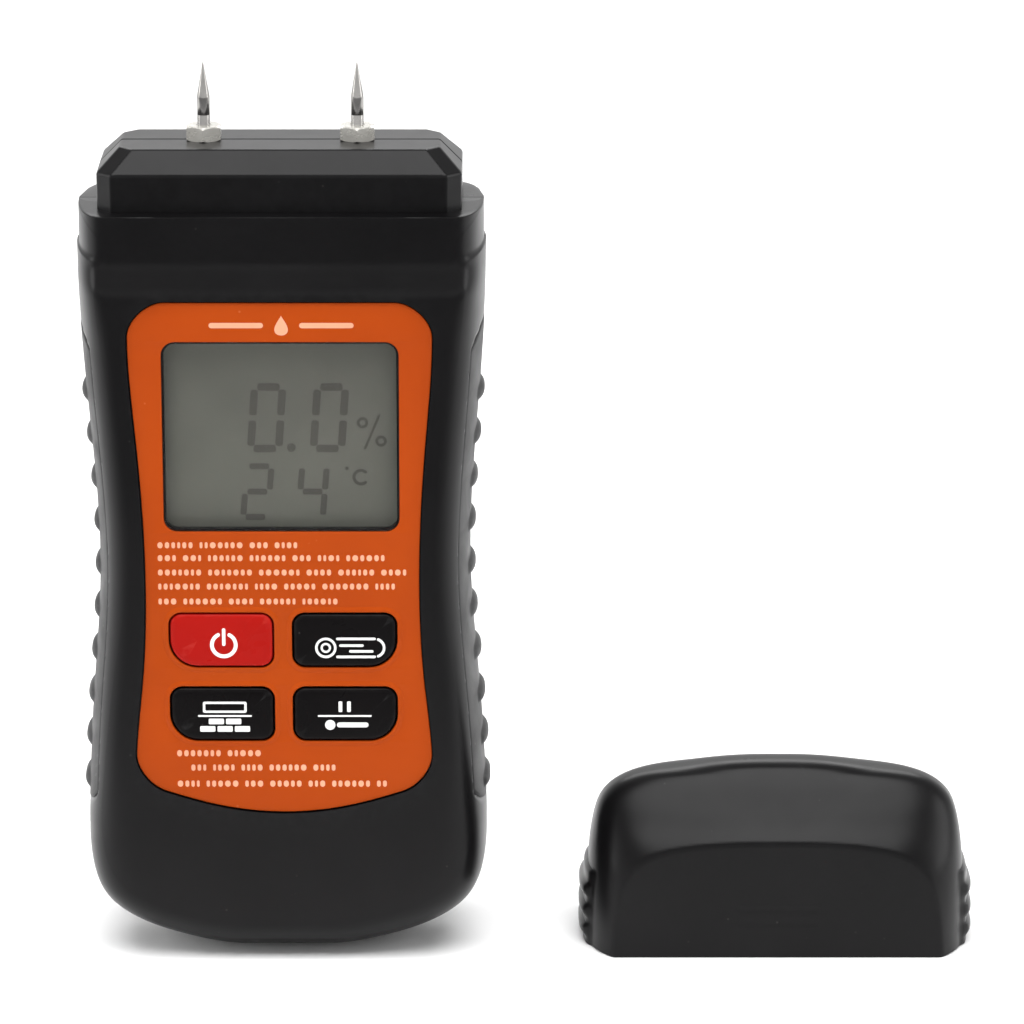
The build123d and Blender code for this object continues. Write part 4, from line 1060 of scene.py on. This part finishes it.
red_cap = key_plastic(
    "red_key_plastic", (0.355, 0.0058, 0.0032), (0.325, 0.0049, 0.0027), (0.5, 0.05, 0.04), 0.08
)
black_cap = key_plastic(
    "black_key_plastic", (0.0028, 0.0022, 0.0024), (0.0040, 0.0033, 0.0035), (0.03, 0.03, 0.03), 0.07
)
white_ink = moulded_finish(
    "white_ink", (0.86, 0.86, 0.85), (0.78, 0.78, 0.77), 0.45, grain=4000.0, bump=0.08, dust=0.0
)
carbon_black = moulded_finish(
    "carbon_black", (0.012, 0.012, 0.012), (0.02, 0.02, 0.02), 0.7, grain=3000.0
)


def bricks(centre, rows=2, size=(2.5, 0.95), gap=0.35):
    """Rows of brick outlines, each row moved half a brick from the one below."""
    rings = []
    for row in range(rows):
        shift = 0.5 * (size[0] + gap) * (row % 2)
        for column in range(3 - row % 2):
            x = centre[0] + (column - 1) * (size[0] + gap) + shift
            z = centre[1] + (row - (rows - 1) / 2) * (size[1] + gap)
            rings.append(rounded_ring(size[0] / 2, size[1] / 2, [0.15] * 4, (x, z), 3, 3))
    return rings


wood_x, wood_z = 10.4, 55.0
wall_x, wall_z = -9.7, 43.0
hold_x, hold_z = 10.0, 43.0
LEGENDS = {
    "power": [
        arc_rings((-9.7, 55.5), 1.95, 0.62, 118, 422),
        stroke_ring((-9.7, 55.6), (-9.7, 58.1), 0.55),
    ],
    "wood": [
        *(circle_ring((wood_x - 3.4, wood_z), radius) for radius in (1.75, 1.35, 0.85, 0.5)),
        *(
            stroke_ring((wood_x + left, wood_z + rise), (wood_x + right, wood_z + rise), LEGEND_STROKE)
            for left, right, rise in (
                (-1.5, 4.6, 1.55), (-1.0, 2.6, 0.4), (0.6, 4.2, -0.6), (-1.5, 4.6, -1.55)
            )
        ),
        arc_rings((wood_x + 4.6, wood_z), 1.55, LEGEND_STROKE, -68, 68),
    ],
    "wall": [
        rounded_ring(3.6, 0.95, [0.3] * 4, (wall_x, wall_z + 1.75), 4, 4),
        rounded_ring(3.2, 0.58, [0.15] * 4, (wall_x, wall_z + 1.75), 4, 4),
        stroke_ring((wall_x - 4.3, wall_z + 0.25), (wall_x + 4.3, wall_z + 0.25), 0.28),
        *bricks((wall_x, wall_z - 1.35)),
    ],
    "hold": [
        stroke_ring((hold_x - 0.7, hold_z + 1.05), (hold_x - 0.7, hold_z + 2.65), 0.62, 0.4),
        stroke_ring((hold_x + 0.7, hold_z + 1.05), (hold_x + 0.7, hold_z + 2.65), 0.62, 0.4),
        stroke_ring((hold_x - 4.3, hold_z + 0.25), (hold_x + 4.3, hold_z + 0.25), 0.28),
        circle_ring((hold_x - 2.4, hold_z - 1.3), 0.85),
        rounded_ring(2.6, 0.42, [0.42] * 4, (hold_x + 1.3, hold_z - 1.3), 6, 5),
    ],
}
for key, centre in KEYS.items():
    cap = key_cap(f"{key}_key_cap", centre)
    finish, slot = (red_cap, "red_key") if key == "power" else (black_cap, "black_key")
    use_material(cap, finish, f"{key}_button")
    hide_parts(f"{key}_key")
    legend = slab(f"{key}_key_legend", LEGENDS[key], LEGEND_FRONT, LEGEND_BACK)
    use_material(legend, white_ink, f"{key}_button")
    dress(carbon_black, f"{key}_pill")


# ---- Circuit board and what stands on it ----
# A glass-fibre board in green solder mask carries the display, the key contacts and, on
# its back, the chips, buzzer, capacitors, trimmer and temperature sensor.
board_green, board_tree, board_shader, place = new_material("board_green", 0.35)
traces = add_node(
    board_tree, "ShaderNodeTexWave",
    {"Vector": place, "Scale": 220.0, "Distortion": 2.5, "Detail": 2.0},
)
board_tone = add_mix(
    board_tree, add_ramp(board_tree, traces.outputs[1], 0.45, 0.55),
    (0.012, 0.11, 0.03, 1), (0.02, 0.17, 0.045, 1),
)
board_tree.links.new(board_tone, board_shader.inputs["Base Color"])
set_bump(board_tree, board_shader, traces.outputs[1], 0.3, 0.03)
dress(board_green, "main_board")
chip_black = moulded_finish(
    "chip_black", (0.012, 0.012, 0.013), (0.02, 0.02, 0.021), 0.55, grain=3000.0, bump=0.3
)
dress(
    chip_black, "controller_chip", "amplifier_chip", "buzzer", "capacitors", "temperature_sensor",
    "chip_parts", "snap_connector",
)
trimmer_blue = moulded_finish(
    "trimmer_blue", (0.02, 0.10, 0.42), (0.016, 0.08, 0.34), 0.4, grain=2000.0
)
dress(trimmer_blue, "calibration_trimmer")


def metal_finish(
    name, tone, second, roughness, scratch=900.0, stretch=(1, 1, 12), bump=0.1, metallic=1.0,
):
    """Bare or plated metal: fine lines drawn out along one axis vary the tone, the
    roughness and the bump."""
    material, tree, shader, place = new_material(name, roughness, metallic=metallic)
    drawn = add_node(tree, "ShaderNodeMapping", {"Vector": place, "Scale": stretch})
    lines = add_node(
        tree, "ShaderNodeTexNoise", {"Vector": drawn.outputs[0], "Scale": scratch, "Detail": 5.0}
    )
    tarnish = add_node(tree, "ShaderNodeTexNoise", {"Vector": place, "Scale": 260.0, "Detail": 4.0})
    tree.links.new(
        add_mix(tree, add_ramp(tree, tarnish.outputs[0], 0.35, 0.68), (*tone, 1), (*second, 1)),
        shader.inputs["Base Color"],
    )
    lined = add_ramp(tree, lines.outputs[0], 0.3, 0.7, roughness * 0.75, roughness * 1.3)
    tree.links.new(lined, shader.inputs["Roughness"])
    set_bump(tree, shader, lines.outputs[0], bump, 0.01)
    return material


for name, tone, second, roughness, nodes in (
    ("gold_plate", (0.83, 0.57, 0.22), (0.74, 0.49, 0.18), 0.28, ["key_contacts"]),
    ("zinc_steel", (0.55, 0.55, 0.54), (0.42, 0.42, 0.42), 0.32,
     ["case_screws", "board_screws", "battery_terminals"]),
    ("socket_brass", (0.72, 0.50, 0.21), (0.60, 0.40, 0.16), 0.33, ["pin_sockets", "pin_tabs"]),
):
    dress(metal_finish(name, tone, second, roughness), *nodes)


# ---- Measuring pins and their nuts ----
# Two turned steel needles with long tapers, polished, screwed into brass sockets and held
# by nickel-plated hexagon nuts, one corner of each to the front.
PIN_X = 12.45
PIN_PROFILE = [
    (0.0, 130.0), (0.9, 130.0), (1.06, 130.3), (1.06, 140.9), (1.045, 140.95), (1.045, 141.0),
    (1.07, 141.05), (1.07, 143.75), (1.05, 143.95), (0.90, 144.9),
    (0.72, 145.9), (0.54, 146.9), (0.37, 147.9), (0.22, 148.8), (0.12, 149.35), (0.06, 149.55),
    (0.0, 149.6),
]
NUT_BASE, NUT_TOP = 136.9, 139.3
NUT_HALF_FLATS = 2.75
NUT_FACE_RADIUS = 2.62
NUT_FOOT_GAIN = 0.25
NUT_CONE_SLOPE = 1.73
NUT_HOLE = 1.1
NUT_AROUND = 120

pin_steel = metal_finish(
    "pin_steel", (0.40, 0.39, 0.375), (0.32, 0.312, 0.30), 0.2, stretch=(1, 1, 30), bump=0.05,
)
nut_nickel = metal_finish(
    "nut_nickel", (0.66, 0.645, 0.60), (0.58, 0.565, 0.52), 0.24, scratch=500.0, stretch=(1, 1, 3),
    bump=0.02, metallic=0.65,
)
for side, name in ((-1, "left_pin"), (1, "right_pin")):
    needle = turned(name + "_needle", PIN_PROFILE, [(side * PIN_X, 0)], sharp=28)
    use_material(needle, pin_steel, "meter")
    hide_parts(name)


def hexagon_nut(name, places):
    """A hexagon radius over the angle, cut at both ends by a turned cone, so that each
    flat ends in a curved edge; the hole is a circle, and the loop is closed."""
    angle = np.linspace(0, 2 * np.pi, NUT_AROUND, endpoint=False)
    folded = (angle - np.pi / 2 + np.pi / 6) % (np.pi / 3) - np.pi / 6
    hexagon = NUT_HALF_FLATS / np.cos(np.pi / 6 - abs(folded))
    corner = NUT_HALF_FLATS / np.cos(np.pi / 6)
    height = NUT_TOP - NUT_BASE
    heights = np.concatenate([
        np.linspace(0, 0.4, 7), np.linspace(0.5, height - 0.75, 5),
        np.linspace(height - 0.7, height, 12),
    ])
    cone_top = NUT_FACE_RADIUS + (height - heights) * NUT_CONE_SLOPE
    cone_low = NUT_FACE_RADIUS + NUT_FOOT_GAIN + heights * NUT_CONE_SLOPE
    cone = np.minimum(np.minimum(cone_top, cone_low), corner)
    radius = np.minimum(hexagon[None], cone[:, None])
    inner = np.array([[NUT_HOLE + 0.15, height], [NUT_HOLE, height - 0.15], [NUT_HOLE, 0.0]])
    all_radius = np.concatenate([radius, np.broadcast_to(inner[:, :1], (3, NUT_AROUND))])
    all_height = np.concatenate([heights, inner[:, 1]])[:, None] + NUT_BASE
    all_height = np.broadcast_to(all_height, all_radius.shape)
    ring = np.stack([all_radius * np.cos(angle), all_radius * np.sin(angle), all_height], axis=-1)
    return [
        add_grid(f"{side}_{name}", ring + (x, y, 0), across=True, sharp=22)
        for side, (x, y) in zip(("left", "right"), places)
    ]


nuts = hexagon_nut("pin_nut", [(-PIN_X, 0), (PIN_X, 0)])
for nut in nuts:
    use_material(nut, nut_nickel, "meter")
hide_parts("pin_nuts")


# ---- Battery, snap connector and leads ----
# A nine-volt battery in a painted steel can with a copper-coloured band, on a foam pad,
# with a snap connector and two stranded leads to the board.
BATTERY_BAND_Z = 58.0
battery_paint, battery_tree, battery_shader, place = new_material("battery_paint", 0.3, metallic=0.35)
height = add_node(battery_tree, "ShaderNodeSeparateXYZ", {0: place}).outputs["Z"]
band = add_ramp(battery_tree, height, BATTERY_BAND_Z * MM, (BATTERY_BAND_Z + 0.1) * MM)
scuffs = add_node(battery_tree, "ShaderNodeTexNoise", {"Vector": place, "Scale": 500.0, "Detail": 5.0})
banded = add_mix(battery_tree, band, (0.02, 0.022, 0.03, 1), (0.55, 0.26, 0.12, 1))
scuffed = add_ramp(battery_tree, scuffs.outputs[0], 0.62, 0.72, 0.0, 0.5)
battery_tree.links.new(
    add_mix(battery_tree, scuffed, banded, (0.4, 0.38, 0.36, 1)), battery_shader.inputs["Base Color"]
)
battery_tree.links.new(
    add_ramp(battery_tree, scuffs.outputs[0], 0.3, 0.7, 0.22, 0.42), battery_shader.inputs["Roughness"]
)
dress(battery_paint, "battery")
foam_grey = moulded_finish(
    "foam_grey", (0.06, 0.06, 0.062), (0.03, 0.03, 0.031), 0.9, grain=1100.0, bump=0.9, bump_depth=0.2
)
dress(foam_grey, "battery_foam")
for name, tone, second in (
    ("red", (0.45, 0.012, 0.010), (0.36, 0.009, 0.008)),
    ("black", (0.010, 0.010, 0.010), (0.016, 0.016, 0.016)),
):
    dress(moulded_finish("lead_" + name, tone, second, 0.45), name + "_lead")


# ---- Battery door ----
# A flat ABS door in the back shell. Its rounded lower edge turns on two moulded pins, and
# a sprung tongue with finger ridges snaps in at the top.
dress(housing_black, "battery_door")


# ---- Protective cap ----
# A thin moulded hood of the same black ABS that pushes over the head and grips it. Here
# it stands on its rim. Its flat faces end in an arch, and three ribs mark each side.
CAP_X = 81.8
CAP_PROFILE = [
    # half width, height, from the rim to the crown
    (31.75, 0.0), (31.7, 8.0), (31.45, 14.0), (30.65, 20.5), (29.2, 24.6), (26.2, 27.3), (17.1, 29.6),
    (8.0, 30.75), (0.0, 31.0),
]
CAP_SWELL = [
    # half depth that the section would have if its faces weren't flat, height
    (19.3, 0.0), (17.9, 11.0), (16.2, 15.8), (14.3, 18.6), (13.0, 20.1), (11.24, 22.0), (9.48, 24.0),
    (7.72, 26.0), (5.96, 28.0), (4.6, 29.4), (3.5, 30.3), (2.0, 30.85), (0.0, 31.0),
]
CAP_FACE = 12.98
CAP_FACE_SOFT = 0.12
CAP_LINES_Z = (6.2, 8.5)
CAP_LINES_HALF = 6.6
CAP_LINES_DEPTH = 0.12
CAP_LINES_WIDTH = 0.45
CAP_POWER = 2.8
CAP_HEIGHT = 31.0
CAP_AROUND, CAP_UP = 384, 130
CAP_INSIDE_UP = 40
CAP_PAD_HEIGHT = 13.2
CAP_PAD_REACH = 8.0
CAP_PAD_PROUD = 0.62
CAP_RIB_Z = (2.7, 6.1, 9.7)
CAP_RIB_HALF = 1.15
CAP_RIB_PROUD = 0.72
CAP_FULL_HALF = 33.08
CAP_EVENED_AT = (32, 14)   # half width and half depth at which the section is divided evenly
CAP_INSIDE = [(29.9, 0.0), (29.8, 10.0), (28.0, 20.0), (21.0, 27.6), (0.0, 28.6)]
CAP_INSIDE_DEPTH = [(0, 11.5), (10, 11.4), (20, 10.6), (26, 6.4), (28.6, 0.0)]
CAP_RIM_LIFT = 0.22


def cap_section(half_width, half_depth):
    """Superellipse rows of the cap, evened out along each row: |x/w|^p + |y/d|^p = 1."""
    turn = np.linspace(0, 2 * np.pi, 2048, endpoint=False)
    x = np.sign(np.cos(turn)) * abs(np.cos(turn)) ** (2 / CAP_POWER)
    y = np.sign(np.sin(turn)) * abs(np.sin(turn)) ** (2 / CAP_POWER)
    closed = np.stack([np.append(x, x[0]), np.append(y, y[0])], axis=1) * CAP_EVENED_AT
    even = even_steps(closed, CAP_AROUND + 1)[:-1] / CAP_EVENED_AT
    return even[None, :, 0] * half_width[:, None], even[None, :, 1] * half_depth[:, None]


cap_side = smooth_curve(CAP_PROFILE, CAP_UP, (0, 1), (-1, 0))
cap_swell = smooth_curve(CAP_SWELL, 600, (-0.05, 1), (-1, 0))
cap_z = np.clip(cap_side[:, 1], 0, CAP_HEIGHT)
cap_depth = np.interp(cap_z, cap_swell[:, 1], cap_swell[:, 0])
x, y = cap_section(cap_side[:, 0], cap_depth)
over = (abs(y) - CAP_FACE) / CAP_FACE_SOFT
y = np.sign(y) * (CAP_FACE - CAP_FACE_SOFT * np.logaddexp(0, -over))
z = np.broadcast_to(cap_z[:, None], x.shape)
engraved = sum(np.clip(1 - (abs(z - line) / CAP_LINES_WIDTH) ** 2, 0, 1) for line in CAP_LINES_Z)
engraved = engraved * (abs(x) < CAP_LINES_HALF) * (abs(y) > CAP_FACE - 1) * (y < 0)
y = y + CAP_LINES_DEPTH * engraved
on_side = 1 - soft_step(abs(y), CAP_PAD_REACH - 1.6, CAP_PAD_REACH)
pad = CAP_PAD_PROUD * on_side * (1 - soft_step(z, CAP_PAD_HEIGHT - 0.35, CAP_PAD_HEIGHT))
bumps = [np.clip(1 - (abs(z - rib) / CAP_RIB_HALF) ** 2.4, 0, 1) ** 0.7 for rib in CAP_RIB_Z]
ends = np.clip(1 - (abs(y) / (CAP_PAD_REACH - 0.8)) ** 8, 0, 1) ** 0.5
x = x + np.sign(x) * (pad + CAP_RIB_PROUD * sum(bumps) * ends) * soft_step(abs(x), 25, 30)
x = np.clip(x, -CAP_FULL_HALF, CAP_FULL_HALF)
outer = np.stack([x + CAP_X, y, z], axis=-1)

inside = smooth_curve(CAP_INSIDE, CAP_INSIDE_UP, (0, 1), (-1, 0))
inside_depth = np.interp(inside[:, 1], *zip(*CAP_INSIDE_DEPTH))
x, y = cap_section(inside[:, 0], inside_depth * 1.06)
y = np.clip(y, -inside_depth[:, None], inside_depth[:, None])
inner = np.stack([x + CAP_X, y, np.broadcast_to(inside[:, 1:], x.shape)], axis=-1)
rim_edge = outer[:1] + (outer[:1] - (CAP_X, 0, 0)) * (-0.006, -0.012, 0)
outer[0, :, 2] = CAP_RIM_LIFT
cap = add_grid("cap_shell_hood", np.concatenate([outer[::-1], rim_edge, inner]), sharp=38)
use_material(cap, housing_black, "cap")
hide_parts("cap_shell")
